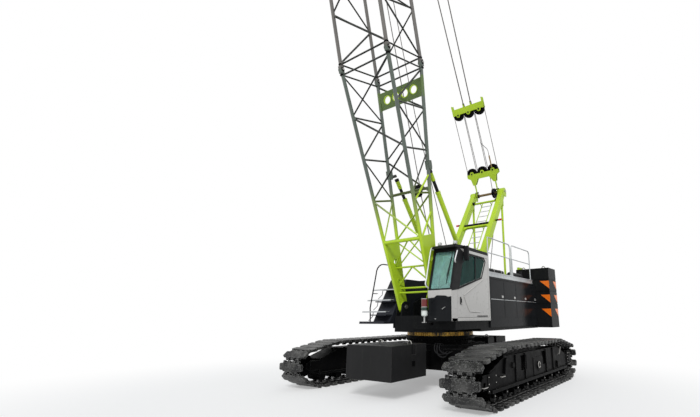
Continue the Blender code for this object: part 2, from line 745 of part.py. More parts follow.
def cab_profile():
    """The cab's side outline as (y, z), front at -Y: a leaning windscreen over an upright lower front."""
    return [
        (CAB_FRONT_Y, CAB_BOTTOM),
        (CAB_REAR_Y, CAB_BOTTOM),
        (CAB_REAR_Y, CAB_TOP - 0.05),
        (CAB_REAR_Y - 0.08, CAB_TOP),
        (CAB_FRONT_Y + 0.50, CAB_TOP),
        (CAB_FRONT_Y + 0.34, CAB_TOP - 0.08),
        (CAB_FRONT_Y + 0.02, CAB_BAND_Z),
    ]


def scaled_outline(points, distance):
    """The outline moved inwards by a wall's thickness. The points run anticlockwise."""
    return inset_loop(points, distance)


def make_cab(house):
    """The cab is a shell with its windows and door opening cut, glass set in them, and a seat inside."""
    outline = cab_profile()
    shell = plate(outline, CAB_INNER_X, CAB_OUTER_X)
    room = plate(scaled_outline(outline, CAB_WALL), CAB_INNER_X + CAB_WALL, CAB_OUTER_X - CAB_WALL)
    door = door_outline(0)
    cuts = [
        room,
        plate(door, CAB_OUTER_X - CAB_WALL - 0.02, CAB_OUTER_X + 0.1),
        windscreen_block(0.0, -0.2, 0.4),
        plate(side_glass_outline(0.0), CAB_INNER_X - 0.1, CAB_INNER_X + CAB_WALL + 0.02),
    ]
    piece("cab_shell", fused([shell], [fused(cuts)]), CAB_GREY, house)
    leaf = plate(door_outline(CAB_DOOR_GAP), CAB_OUTER_X - CAB_WALL, CAB_OUTER_X)
    window = plate(side_glass_outline(0.0), CAB_OUTER_X - 0.2, CAB_OUTER_X + 0.1)
    hinge_x = CAB_OUTER_X - 0.008
    hinge_y = CAB_REAR_Y - 0.09 - CAB_DOOR_GAP - 0.008
    hinge = empty("cab_door_hinge", house, (hinge_x, hinge_y, 0))
    mesh = fused([leaf], [window])
    handle = box((CAB_OUTER_X - 0.01, -1.23, 2.26), (CAB_OUTER_X + 0.03, -1.17, 2.44))
    pivot = rod((hinge_x, hinge_y, CAB_BOTTOM + 0.09 + SEAT), (hinge_x, hinge_y, CAB_TOP - 0.16), PIVOT_RADIUS, 6)
    mesh = fused([mesh, handle, pivot])
    mesh.transform(Matrix.Translation((-hinge_x, -hinge_y, 0)))
    piece("cab_door", mesh, CAB_GREY, hinge)
    middle = CAB_OUTER_X - CAB_WALL / 2
    glass = plate(side_glass_outline(SEAT), middle - 0.004, middle + 0.004)
    glass.transform(Matrix.Translation((-hinge_x, -hinge_y, 0)))
    piece("door_glass", glass, GLASS, hinge, smooth=False)
    middle = CAB_INNER_X + CAB_WALL / 2
    piece("inner_side_glass", plate(side_glass_outline(SEAT), middle - 0.004, middle + 0.004), GLASS, house, smooth=False)
    piece("windscreen", windscreen_block(SEAT, 0.015, 0.023), GLASS, house, smooth=False)
    seat_x = (CAB_INNER_X + CAB_OUTER_X) / 2
    floor = CAB_BOTTOM + CAB_WALL + SEAT
    seat = fused([
        box((seat_x - 0.16, -0.55, floor), (seat_x + 0.16, -0.15, 2.25)),
        box((seat_x - 0.24, -0.68, 2.2), (seat_x + 0.24, -0.1, 2.36)),
        box((seat_x - 0.23, -0.16, 2.25), (seat_x + 0.23, -0.02, 3.0)),
        box((seat_x - 0.32, -0.5, 2.0), (seat_x - 0.25, 0.0, 2.55)),
        box((seat_x + 0.25, -0.5, 2.0), (seat_x + 0.32, 0.0, 2.55)),
        box((seat_x - 0.3, -0.3, 2.0), (seat_x + 0.3, -0.15, 2.1)),
    ])
    piece("operator_seat", seat, FABRIC, house)


def door_outline(gap):
    """The cab door seen from the side, smaller all round by the gap."""
    base = [
        (CAB_FRONT_Y + 0.31, CAB_BOTTOM + 0.09),
        (CAB_REAR_Y - 0.09, CAB_BOTTOM + 0.09),
        (CAB_REAR_Y - 0.09, CAB_TOP - 0.16),
        (CAB_FRONT_Y + 0.66, CAB_TOP - 0.10),
        (CAB_FRONT_Y + 0.31, CAB_BAND_Z),
    ]
    return inset_loop(base, gap) if gap else base


def side_glass_outline(gap):
    base = [
        (CAB_FRONT_Y + 0.39, CAB_BAND_Z + 0.10),
        (0.02, 3.08),
        (0.30, 3.58),
        (0.22, 3.66),
        (CAB_FRONT_Y + 0.71, CAB_TOP - 0.18),
    ]
    return inset_loop(base, gap) if gap else base


def windscreen_block(gap, near, far):
    """The windscreen's slab, square to the leaning front, from near to far behind its outer face."""
    low = Vector((CAB_FRONT_Y + 0.02, CAB_BAND_Z))
    high = Vector((CAB_FRONT_Y + 0.34, CAB_TOP - 0.08))
    length = (high - low).length
    lean = math.atan2(high.x - low.x, high.y - low.y)
    x0, x1 = CAB_INNER_X + 0.05 + gap, CAB_OUTER_X - 0.05 - gap
    block = box((x0, near, 0.05 + gap), (x1, far, length - 0.04 - gap))
    block.transform(Matrix.Translation((0, low.x, low.y)) @ Matrix.Rotation(-lean, 4, "X"))
    return block


def make_counterweight(house):
    """A tray across the rear, and a stack of slabs on each side of it."""
    half, chamfer = COUNTERWEIGHT_HALF_WIDTH, COUNTERWEIGHT_CHAMFER
    front, rear = COUNTERWEIGHT_FRONT_Y, COUNTERWEIGHT_REAR_Y
    outline = [
        (-half, front), (half, front), (half, rear - chamfer), (half - chamfer, rear),
        (chamfer - half, rear), (-half, rear - chamfer),
    ]
    base = COUNTERWEIGHT_BOTTOM
    tray_top = base + TRAY_HEIGHT
    piece("counterweight_tray", plate(outline, base, tray_top, "Z"), CHARCOAL, house, smooth=False)
    inner = STACK_INNER_X
    stack_outline = [(inner, front), (half, front), (half, rear - chamfer), (half - chamfer, rear), (inner, rear)]
    top = tray_top + SEAT + SLAB_COUNT * SLAB_HEIGHT
    stack = plate(stack_outline, tray_top + SEAT, top, "Z")
    grooves = []
    for i in range(1, SLAB_COUNT):
        z = tray_top + SEAT + i * SLAB_HEIGHT
        g = SLAB_GROOVE
        grooves.append(box((half - g, front - 1, z - g / 2), (half + 1, rear + 1, z + g / 2)))
        grooves.append(box((inner - 1, front - 1, z - g / 2), (half + 1, front + g, z + g / 2)))
        grooves.append(box((inner - 1, rear - g, z - g / 2), (half + 1, rear + 1, z + g / 2)))
    mesh = fused([stack], [fused(grooves)])
    piece("counterweight_left", mesh, CHARCOAL, house, smooth=False)
    piece("counterweight_right", mirrored(mesh), CHARCOAL, house, smooth=False)


def make_access(house):
    """Steps and tank module at the right front, walkway plate, handrails and the left walkway."""
    outer, inner = -HOUSE_OUTER_X, -HOUSE_INNER_X
    module_rear = HOUSE_FRONT_Y - 0.04
    base = STEP_BASE
    outline = [
        (-1.50, base), (module_rear, base), (module_rear, 3.10), (-0.72, 3.10),
    ]
    parts = [plate(outline, outer, inner)]
    treads = ((-1.66, 2.00), (-1.45, 2.40), (-1.24, 2.78))
    for y, z in treads:
        parts.append(box((outer + 0.02, y, z - 0.03), (inner - 0.02, y + 0.55, z)))
    parts.append(box((-1.80, -1.76, base - 0.05), (inner, STEP_PLATE_REAR_Y, base + 0.01)))
    piece("access_steps", fused(parts), CHARCOAL, house, smooth=False)
    bend = arc((-1.05, 3.25), 0.35, 180, 90, 5)
    x = outer - 0.03
    points = [(x, -1.60, base + 0.01 + SEAT), (x, -1.60, 1.9), (x, -1.62, 2.2)] + [(x, y, z) for y, z in bend] + [(x, -0.2, 3.6), (x, -0.2, 3.0)]
    rail = fused([
        pipe(points, 0.02, 1),
        rod((x, -0.2, 3.02), (outer + 0.05, -0.2, 3.02), 0.016, 6),
        rod((x, -1.53, 2.64), (outer + 0.05, -1.1, 2.64), 0.012, 6),
    ], [box((outer - SEAT, -2, 1.5), (inner, 1, 3.7))])
    piece("step_handrail", rail, BLACK, house)
    z = HOUSE_TOP + SEAT
    channel = box((HOUSE_OUTER_X - 0.34, HOUSE_FRONT_Y, z), (HOUSE_OUTER_X, HOUSE_REAR_Y - 0.3, z + 0.09))
    groove = box((HOUSE_OUTER_X - 0.02, HOUSE_FRONT_Y - 1, z + 0.02), (HOUSE_OUTER_X + 0.1, HOUSE_REAR_Y + 1, z + 0.07))
    piece("left_walkway", fused([channel], [groove]), GALVANISED, house, smooth=False)
    make_left_railing(house, z + 0.09 + SEAT)


def make_left_railing(house, base):
    """Posts with a top and a middle rail along the left walkway."""
    x = HOUSE_OUTER_X - 0.03
    top = 4.40
    y0, y1 = HOUSE_FRONT_Y + 0.04, HOUSE_REAR_Y - 0.42
    middle = (y0 + y1) / 2
    radius = 0.022
    bend = 0.16
    loop = [(x, y0, base), (x, y0, top)]
    loop += [(x, y, z) for y, z in arc((y1 - bend, top - bend), bend, 90, 0, 4)]
    loop.append((x, y1, base))
    rails = fused([
        pipe(loop, radius, 1),
        rod((x, y0, base + 0.5), (x, y1, base + 0.5), radius * 0.8, 8),
        box((x - 0.02, middle - 0.1, base), (x + 0.02, middle - 0.03, top)),
        box((x - 0.02, middle + 0.03, base), (x + 0.02, middle + 0.1, top)),
    ])
    piece("left_railing", rails, GALVANISED, house)


def gantry_point(share):
    """A point on a mast's centre line, from its foot at 0 to its top at 1, as (y, z)."""
    y = GANTRY_FOOT_Y + share * (GANTRY_TOP_Y - GANTRY_FOOT_Y)
    z = GANTRY_FOOT_Z + share * (GANTRY_TOP_Z - GANTRY_FOOT_Z)
    return y, z


def make_gantry(house):
    """Two leaning box masts with cross tubes, upright rear struts, a ladder and the top axle."""
    run_y, run_z = GANTRY_TOP_Y - GANTRY_FOOT_Y, GANTRY_TOP_Z - GANTRY_FOOT_Z
    lean = math.atan2(run_y, run_z)
    length = math.hypot(run_y, run_z)
    frame = Matrix.Translation((0, GANTRY_FOOT_Y, GANTRY_FOOT_Z)) @ Matrix.Rotation(-lean, 4, "X")
    parts = []
    half_w, half_d = MAST_WIDTH / 2, MAST_DEPTH / 2
    for side in (-1, 1):
        x = side * GANTRY_HALF_WIDTH
        parts.append(box((x - half_w, -half_d, -0.12), (x + half_w, half_d, length + 0.1), frame))
    for share, radius in ((0.90, 0.045), (0.62, 0.055), (0.36, 0.045)):
        y, z = gantry_point(share)
        parts.append(cross_rod(-GANTRY_HALF_WIDTH, GANTRY_HALF_WIDTH, y, z, radius, 10))
    parts.append(cross_rod(-GANTRY_HALF_WIDTH, GANTRY_HALF_WIDTH, GANTRY_TOP_Y, GANTRY_TOP_Z, AXLE_RADIUS, 12))
    piece("gantry_masts", fused(parts), LIME, house, smooth=False)
    struts = [cross_rod(-GANTRY_HALF_WIDTH, GANTRY_HALF_WIDTH, STRUT_Y, STRUT_FOOT_Z + 0.9, STRUT_RADIUS * 0.7, 6)]
    for side in (-1, 1):
        x0, x1 = sorted((side * (WINCH_PLATE_X + WINCH_PLATE_THICKNESS + SEAT), side * (GANTRY_HALF_WIDTH + 0.05)))
        x = side * GANTRY_HALF_WIDTH
        struts.append(rod((x, STRUT_Y, STRUT_FOOT_Z), (x, STRUT_Y, GANTRY_TOP_Z), STRUT_RADIUS, 8))
        low, high = (x0, STRUT_Y - 0.08, STRUT_FOOT_Z - 0.1), (x1, STRUT_Y + 0.08, STRUT_FOOT_Z + 0.16)
        struts.append(box(low, high))
    reach = GANTRY_HALF_WIDTH + MAST_WIDTH
    masts = box((-reach, -half_d - SEAT, 0), (reach, half_d + 0.5, length + 0.5), frame)
    piece("gantry_struts", fused(struts, [masts]), LIME, house)


def luffing_frame():
    """The boom head's pendant point and the luffing line's length and lean, seen from the gantry's top."""
    s, n = BOOM_LENGTH - HEAD_SECTION + PENDANT_LUG[1], PENDANT_LUG[0]
    cos_a, sin_a = math.cos(math.radians(BOOM_ANGLE)), math.sin(math.radians(BOOM_ANGLE))
    y = BOOM_FOOT_Y - s * cos_a + n * sin_a
    z = BOOM_FOOT_Z + s * sin_a + n * cos_a
    run_y, run_z = y - GANTRY_TOP_Y, z - GANTRY_TOP_Z
    return math.hypot(run_y, run_z), math.atan2(-run_y, run_z)


def bail_sheaves(z, radius):
    """Three sheaves side by side, with the shaft that they share."""
    span = BAIL_SHEAVE_SPACING
    shapes = [cross_rod(-span - 0.16, span + 0.16, 0, z, 0.03, 8)]
    for i in (-1, 0, 1):
        profile = [(0, 0.035), (radius, 0.035), (radius - 0.04, 0.0), (radius, -0.035), (0, -0.035)]
        shapes.append(turned(profile, steps=10, place=(i * span, 0, z)))
    return shapes


def make_luffing_gear(house):
    """The lower bail swings on the gantry's axle. The upper bail and its pendants slide along the same line."""
    line, lean = luffing_frame()
    axis = empty("luffing_line_hinge", house, (0, GANTRY_TOP_Y, GANTRY_TOP_Z), (lean, 0, 0))
    width = BAIL_SHEAVE_SPACING + 0.18
    low = LOWER_BAIL_REACH
    cheeks = [(-width, low - 0.10), (-width + 0.06, low - 0.24), (width - 0.06, low - 0.24), (width, low - 0.10),
              (width, low + 0.06), (-width, low + 0.06)]
    parts = [plate(cheeks, -0.075, -0.045, "Y"), plate(cheeks, 0.045, 0.075, "Y")]
    parts.append(box((-width + 0.05, -0.06, low - 0.245), (width - 0.05, 0.06, low - 0.215)))
    link_x = GANTRY_HALF_WIDTH - MAST_WIDTH / 2 - 0.06
    for side in (-1, 1):
        x0, x1 = sorted((side * (link_x - 0.04), side * link_x))
        eye = arc((0, 0), 0.10, 180, 360, 8)
        parts.append(plate([*eye, (0.05, low - 0.1), (-0.05, low - 0.1)], x0, x1))
    hole = bore((-1, 0, 0), (1, 0, 0), AXLE_RADIUS, 12)
    mesh = fused(parts + bail_sheaves(low, BAIL_SHEAVE_RADIUS), [hole])
    piece("lower_bail", mesh, LIME, axis)
    high = UPPER_BAIL_REACH
    cheeks = [(-width, high - 0.06), (width, high - 0.06), (width + 0.04, high + 0.14), (width + 0.04, high + 0.30),
              (width - 0.03, high + 0.30), (width - 0.06, high + 0.22), (0.06 - width, high + 0.22),
              (0.03 - width, high + 0.30), (-width - 0.04, high + 0.30), (-width - 0.04, high + 0.14)]
    parts = [plate(cheeks, -0.075, -0.045, "Y"), plate(cheeks, 0.045, 0.075, "Y")]
    parts.append(box((-width + 0.05, -0.06, high + 0.195), (width - 0.05, 0.06, high + 0.22)))
    piece("upper_bail", fused(parts + bail_sheaves(high, BAIL_SHEAVE_RADIUS)), LIME, axis)
    for side, label in ((1, "left"), (-1, "right")):
        start = Vector((side * PENDANT_BAIL_X, 0, high + 0.22 + SEAT))
        x0, x1 = HEAD_PLATE_X + SEAT, HEAD_PLATE_X + 0.05
        end = Vector((side * (x0 + x1) / 2, 0, line - 0.30))
        x0, x1 = sorted((side * x0, side * x1))
        eye = [*arc((0, line), 0.07, 0, 180, 6), (-0.04, line - 0.35), (0.04, line - 0.35)]
        shapes = [
            rod(start, end, PENDANT_RADIUS, 6),
            box(start - Vector((0.03, 0.04, 0)), start + Vector((0.03, 0.04, 0.2))),
            plate(eye, x0, x1),
        ]
        piece(f"pendant_{label}", fused(shapes), WIRE, axis)


def backstop_geometry():
    """Length and lean of the backstops from their deck pins to the boom's seats."""
    cos_a, sin_a = math.cos(math.radians(BOOM_ANGLE)), math.sin(math.radians(BOOM_ANGLE))
    y = BOOM_FOOT_Y - BACKSTOP_SEAT_S * cos_a + BACKSTOP_SEAT_N * sin_a
    z = BOOM_FOOT_Z + BACKSTOP_SEAT_S * sin_a + BACKSTOP_SEAT_N * cos_a
    run_y, run_z = y - BACKSTOP_Y, z - BACKSTOP_Z
    return math.hypot(run_y, run_z), math.atan2(-run_y, run_z)


def make_backstops(house):
    """Telescopic stops: a green tube on a deck pin, and a black rod up to the boom's seat."""
    length, lean = backstop_geometry()
    for side, label in ((1, "left"), (-1, "right")):
        axis = empty(f"backstop_{label}_hinge", house, (side * BACKSTOP_X, BACKSTOP_Y, BACKSTOP_Z), (lean, 0, 0))
        outer, inner = BACKSTOP_TUBE_RADIUS, BACKSTOP_ROD_RADIUS
        tube = rod((0, 0, 0.10), (0, 0, BACKSTOP_TUBE_LENGTH), outer, 12)
        barrel = bore((0, 0, 0.15), (0, 0, BACKSTOP_TUBE_LENGTH + 0.1), inner, 12)
        eye = cross_rod(-0.03, 0.03, 0, 0, 0.085, 12)
        neck = box((-0.03, -0.05, 0), (0.03, 0.05, 0.13))
        hole = bore((-0.2, 0, 0), (0.2, 0, 0), BACKSTOP_PIN_RADIUS, 10)
        piece(f"backstop_tube_{label}", fused([tube, eye, neck], [hole, barrel]), LIME, axis)
        start = 0.40
        tip = rod((0, 0, start), (0, 0, length - 0.09), inner, 12)
        cap = rod((0, 0, length - 0.14), (0, 0, length - 0.06), inner + 0.02, 12)
        piece(f"backstop_rod_{label}", fused([tip, cap]), BLACK, axis)


def taper(start, end, share):
    return start + (end - start) * share


def lattice(length, widths, depths, panels, start=0.0, chord_from=CHORD_END):
    """Four chords and the lacing on all four faces, from z = start to the section's end."""
    def corner(z, sx, sy):
        share = z / length
        return Vector((sx * taper(*widths, share) / 2, sy * taper(*depths, share) / 2, z))

    shapes = []
    for sx in (-1, 1):
        for sy in (-1, 1):
            shapes.append(rod(corner(chord_from, sx, sy), corner(length - CHORD_END, sx, sy), CHORD_RADIUS, 6))
    edge = 0.16
    first = start if start else edge
    levels = [taper(first, length - edge, i / panels) for i in range(panels + 1)]
    faces = (((-1, -1), (1, -1)), ((1, -1), (1, 1)), ((1, 1), (-1, 1)), ((-1, 1), (-1, -1)))
    for i, (a, b) in enumerate(faces):
        for k, z in enumerate(levels):
            if k in (0, panels) or i % 2:
                shapes.append(rod(corner(z, *a), corner(z, *b), LACING_RADIUS, 4))
            if k < panels:
                first_end, second_end = (a, b) if k % 2 else (b, a)
                low = corner(z + 0.03, *first_end)
                high = corner(levels[k + 1] - 0.03, *second_end)
                shapes.append(rod(low, high, LACING_RADIUS, 4))
    return shapes


def end_lugs(z, width, depth):
    """Blocks on the chords' ends where sections are pinned."""
    shapes = []
    for sx in (-1, 1):
        for sy in (-1, 1):
            centre = Vector((sx * width / 2, sy * depth / 2, z))
            shapes.append(box(centre - Vector((0.06, 0.06, 0.11)), centre + Vector((0.06, 0.06, 0.0))))
    return shapes


def width_at(s):
    return taper(FOOT_WIDTH, BOOM_WIDTH, s / FOOT_SECTION)


def depth_at(s):
    return taper(FOOT_DEPTH, BOOM_DEPTH, s / FOOT_SECTION)


def make_boom_foot(boom):
    """The foot section: two eyed leg plates that open into the lattice."""
    shapes = lattice(FOOT_SECTION, (FOOT_WIDTH, BOOM_WIDTH), (FOOT_DEPTH, BOOM_DEPTH), FOOT_PANELS,
                     start=FOOT_PLATE_LENGTH, chord_from=0.30)
    cuts = []
    lean = math.atan2((BOOM_WIDTH - FOOT_WIDTH) / 2, FOOT_SECTION)
    top = FOOT_PLATE_LENGTH + 0.06
    half_top = depth_at(top) / 2
    for side in (-1, 1):
        outline = [*arc((0, 0), FOOT_EYE_RADIUS, 180, 360, 10), (half_top + 0.02, top), (-half_top - 0.02, top)]
        half = FOOT_PLATE_THICKNESS / 2
        leg = plate(outline, -half, half)
        turn = Matrix.Translation((side * FOOT_WIDTH / 2, 0, 0)) @ Matrix.Rotation(side * lean, 4, "Y")
        leg.transform(turn)
        shapes.append(leg)
        for s, radius in ((1.39, 0.085), (0.80, 0.05)):
            x = side * width_at(s) / 2
            cuts.append(cross_rod(x - 0.07, x + 0.07, 0, s, radius, 10))
        x = side * FOOT_WIDTH / 2
        spin = 0.5 - BOOM_TILT * 12 / (2 * math.pi)
        cuts.append(bore((x - 0.2, 0, 0), (x + 0.2, 0, 0), FOOT_PIN_RADIUS, 12, spin))
    for s, y in ((0.44, -0.05), (0.56, 0.05)):
        x = width_at(s) / 2
        shapes.append(cross_rod(-x, x, y, s, 0.028, 8))
    x = width_at(1.2) / 2
    shapes.append(cross_rod(-x, x, 0.0, 1.2, 0.028, 8))
    low, high = width_at(0.6) / 2, width_at(FOOT_PLATE_LENGTH) / 2
    half = depth_at(FOOT_PLATE_LENGTH) / 2
    for side in (-1, 1):
        for face in (-1, 1):
            end = (side * high * 0.33, face * half, FOOT_PLATE_LENGTH)
            shapes.append(rod((-side * x, 0.03 * face, 1.2 - 0.05 * side * face), end, 0.024, 4))
        shapes.append(rod((-side * low, 0.0, 0.65), (0, 0.0, 1.2), 0.024, 6))
    for y in (-half, half):
        shapes.append(cross_rod(-high, high, y, FOOT_PLATE_LENGTH, 0.05, 8))
    shapes += end_lugs(FOOT_SECTION, BOOM_WIDTH, BOOM_DEPTH)
    s0, s1 = 6.30, 6.87
    wide = width_at(s0) / 2
    rear = depth_at((s0 + s1) / 2) / 2
    web = [(-wide, s0), (wide, s0), (wide, s1), (-wide, s1)]
    holes = [circle((wide * x, (s0 + s1) / 2), 0.13, 10) for x in (-0.62, -0.21, 0.21, 0.62)]
    shapes.append(plate(web, rear - 0.015, rear + 0.015, "Y", holes))
    for side in (-1, 1):
        x = side * (BACKSTOP_X + 0.02)
        chord = Vector((side * width_at(BACKSTOP_SEAT_S) / 2, depth_at(BACKSTOP_SEAT_S) / 2, BACKSTOP_SEAT_S))
        shapes.append(rod(chord, (x, BACKSTOP_SEAT_N + 0.05, BACKSTOP_SEAT_S + 0.05), 0.05, 8))
    y = depth_at(GUIDE_S) / 2
    x = width_at(GUIDE_S) / 2
    shapes.append(cross_rod(-x, x, y, GUIDE_S, 0.045, 8))
    for side in (-1, 1):
        x0, x1 = sorted((GUIDE_X + side * 0.07, GUIDE_X + side * 0.09))
        lug = [(y - 0.02, GUIDE_S - 0.06), (y + GUIDE_RISE, GUIDE_S - 0.06), (y + GUIDE_RISE + 0.06, GUIDE_S),
               (y + GUIDE_RISE, GUIDE_S + 0.06), (y - 0.02, GUIDE_S + 0.06)]
        shapes.append(plate(lug, x0, x1))
    y += GUIDE_RISE
    cuts.append(bore((GUIDE_X - 0.2, y, GUIDE_S), (GUIDE_X + 0.2, y, GUIDE_S), GUIDE_SHAFT_RADIUS, 16))
    piece("boom_foot", fused(shapes, cuts), STEEL_GREEN, boom, smooth=False)


def make_boom_inserts(boom):
    """Equal middle sections that share one mesh."""
    shapes = lattice(INSERT_SECTION - SEAT, (BOOM_WIDTH, BOOM_WIDTH), (BOOM_DEPTH, BOOM_DEPTH), INSERT_PANELS)
    shapes += end_lugs(INSERT_SECTION - SEAT, BOOM_WIDTH, BOOM_DEPTH)
    shapes += end_lugs(0.11, BOOM_WIDTH, BOOM_DEPTH)
    mesh = fused(shapes)
    for i in range(INSERT_COUNT):
        z = FOOT_SECTION + i * INSERT_SECTION + SEAT
        piece(f"boom_insert_{i + 1}", mesh if i == 0 else mesh.copy(), STEEL_GREY, boom, (0, 0, z), smooth=False)


def make_boom_head(boom):
    """The top section narrows to two head plates, which carry the sheaves and the pendant lugs."""
    lattice_length = HEAD_SECTION - 1.0
    shapes = lattice(lattice_length, (BOOM_WIDTH, HEAD_WIDTH), (BOOM_DEPTH, HEAD_DEPTH), HEAD_PANELS)
    shapes += end_lugs(0.11, BOOM_WIDTH, BOOM_DEPTH)
    half = HEAD_DEPTH / 2
    outline = [
        (-half - 0.06, lattice_length - 0.3), (half + 0.06, lattice_length - 0.3),
        *arc(PENDANT_LUG, 0.09, -30, 100, 6), (0.0, HEAD_SECTION - 0.2),
        *arc(HEAD_SHAFT, 0.15, 60, 230, 8),
    ]
    for side in (-1, 1):
        x0, x1 = sorted((side * HEAD_PLATE_X, side * (HEAD_PLATE_X - 0.06)))
        shapes.append(plate(outline, x0, x1))
    x = HEAD_WIDTH / 2
    shapes.append(cross_rod(-x, x, half - 0.05, HEAD_SECTION - 0.85, 0.06, 10))
    shapes.append(cross_rod(-x, x, -half + 0.02, lattice_length - 0.1, 0.06, 10))
    shapes.append(cross_rod(-x - 0.05, x + 0.05, HEAD_SHAFT[0], HEAD_SHAFT[1], HEAD_SHAFT_RADIUS, 12))
    base = BOOM_LENGTH - HEAD_SECTION + SEAT
    piece("boom_head", fused(shapes), STEEL_GREY, boom, (0, 0, base), smooth=False)


def sheave_profile(half, hole):
    """A grooved wheel with its bore open, as a closed ring of (radius, position) points."""
    groove = SHEAVE_ROPE_RADIUS - ROPE_RADIUS + 0.0012
    return [
        (hole, half), (SHEAVE_RADIUS, half), (SHEAVE_RADIUS, half * 0.62), (groove, 0.016),
        (groove, -0.016), (SHEAVE_RADIUS, -half * 0.62), (SHEAVE_RADIUS, -half), (hole, -half), (hole, half),
    ]


def make_head_sheave(boom):
    """The sheave at the boom's tip. Its axis also carries the hook's rope plumb below it."""
    base = BOOM_LENGTH - HEAD_SECTION + SEAT
    place = (0, HEAD_SHAFT[0], base + HEAD_SHAFT[1])
    axis = empty("head_sheave_axis", boom, place, (-BOOM_TILT, 0, 0))
    hole = (HEAD_SHAFT_RADIUS + PIN_GAP) / math.cos(math.pi / 10)
    profile = sheave_profile(SHEAVE_WIDTH / 2, hole)
    spacer = HEAD_WIDTH / 2 - 0.03 - RUNNING_GAP
    hub = [
        (hole, spacer), (0.09, spacer), (0.09, -spacer), (hole, -spacer), (hole, spacer),
    ]
    piece("head_sheave", fused([turned(profile, steps=20), turned(hub, steps=10)]), BLACK, axis)
    return axis


def make_hook(axis):
    """A one-sheave block on two falls of rope, and a hook that swivels under it."""
    hoist = empty("hook_block_slide", axis, (0, 0, -HOOK_DROP))
    half = 0.10
    cheek = [*arc((0, 0), 0.40, 0, 180, 12), (-0.26, -0.50), (0.26, -0.50)]
    parts = []
    for side in (-1, 1):
        x0, x1 = sorted((side * half, side * (half + 0.05)))
        parts.append(plate(cheek, x0, x1))
    parts.append(cross_rod(-half - 0.06, half + 0.06, 0, 0, 0.06, 12))
    groove = SHEAVE_ROPE_RADIUS - ROPE_RADIUS + 0.0012
    wheel = [
        (0, 0.04), (SHEAVE_RADIUS - 0.03, 0.04), (SHEAVE_RADIUS - 0.03, 0.028),
        (groove, 0.012), (groove, -0.012),
        (SHEAVE_RADIUS - 0.03, -0.028), (SHEAVE_RADIUS - 0.03, -0.04), (0, -0.04),
    ]
    parts.append(turned(wheel, steps=20))
    parts.append(box((-half - 0.05, -0.16, -0.62), (half + 0.05, 0.16, -0.40)))
    hole = bore((0, 0, -0.7), (0, 0, -0.45), HOOK_SHANK_RADIUS, 12)
    piece("hook_block", fused(parts, [hole]), LIME, hoist)
    bottom = [(0, y, z) for y, z in arc((0, 0), SHEAVE_ROPE_RADIUS, 180, 360, 10)]
    top = HOOK_DROP
    falls = [(0, -SHEAVE_ROPE_RADIUS, top)] + bottom + [(0, SHEAVE_ROPE_RADIUS, top)]
    piece("hook_falls", pipe(falls, ROPE_RADIUS, 1), WIRE, hoist)
    swivel = empty("hook_swivel", hoist, (0, 0, -0.62))
    centre, radius = (0, -0.44), 0.15
    bow = [(0, y, z) for y, z in arc(centre, radius, 60, 350, 9)]
    points = [(0, 0, -0.16), (0, 0.04, -0.26)] + bow
    shank = rod((0, 0, 0.15), (0, 0, -0.20), HOOK_SHANK_RADIUS, 12)
    collar = rod((0, 0, -RUNNING_GAP), (0, 0, -0.07), 0.09, 12)
    piece("hook", fused([shank, collar, pipe(points, 0.045, 1)]), BLACK, swivel)


def make_rope_guide(boom):
    """The guide sheave behind the foot section, in a bracket of the boom."""
    s, n = GUIDE_S, depth_at(GUIDE_S) / 2 + GUIDE_RISE
    axis = empty("guide_sheave_axis", boom, (GUIDE_X, n, s))
    shaft = GUIDE_SHAFT_RADIUS
    profile = [(0, 0.10), (shaft, 0.10), (shaft, 0.05), (0.19, 0.05), (0.15, 0.0),
               (0.19, -0.05), (shaft, -0.05), (shaft, -0.10), (0, -0.10)]
    piece("guide_sheave", turned(profile, steps=16), BLACK, axis)


def centre_on_ground(root):
    """Moves the whole machine so that the middle of its box stands on the origin."""
    bpy.context.view_layer.update()
    lows, highs = Vector((1e9, 1e9, 1e9)), Vector((-1e9, -1e9, -1e9))
    for obj in PARTS.objects:
        if obj.type != "MESH":
            continue
        for vertex in obj.data.vertices:
            corner = obj.matrix_world @ vertex.co
            lows = Vector(map(min, lows, corner))
            highs = Vector(map(max, highs, corner))
    root.location = (-(lows.x + highs.x) / 2, -(lows.y + highs.y) / 2, -lows.z)
    bpy.context.view_layer.update()


def main():
    root = empty("crane")
    make_carbody(root)
    make_track_frames(root)
    make_tracks(root)
    house = empty("slewing_axis", root)
    make_deck(house)
    make_winches(house)
    make_houses(house)
    make_cab(house)
    make_counterweight(house)
    make_access(house)
    make_gantry(house)
    make_luffing_gear(house)
    make_backstops(house)
    boom = empty("boom_hinge", house, (0, BOOM_FOOT_Y, BOOM_FOOT_Z), (BOOM_TILT, 0, 0))
    make_boom_foot(boom)
    make_boom_inserts(boom)
    make_boom_head(boom)
    axis = make_head_sheave(boom)
    make_hook(axis)
    make_rope_guide(boom)
    centre_on_ground(root)


main()
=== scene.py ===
"""The looks of a crawler crane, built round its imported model.

Metres. Pieces are made in the machine's own frame, with +X to its left, the front at -Y, the slewing axis
at x = y = 0 and the ground at z = 0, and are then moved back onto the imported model's slewing axis.
"""

import json
import math

import bmesh
import bpy
import numpy as np
from mathutils import Matrix, Vector

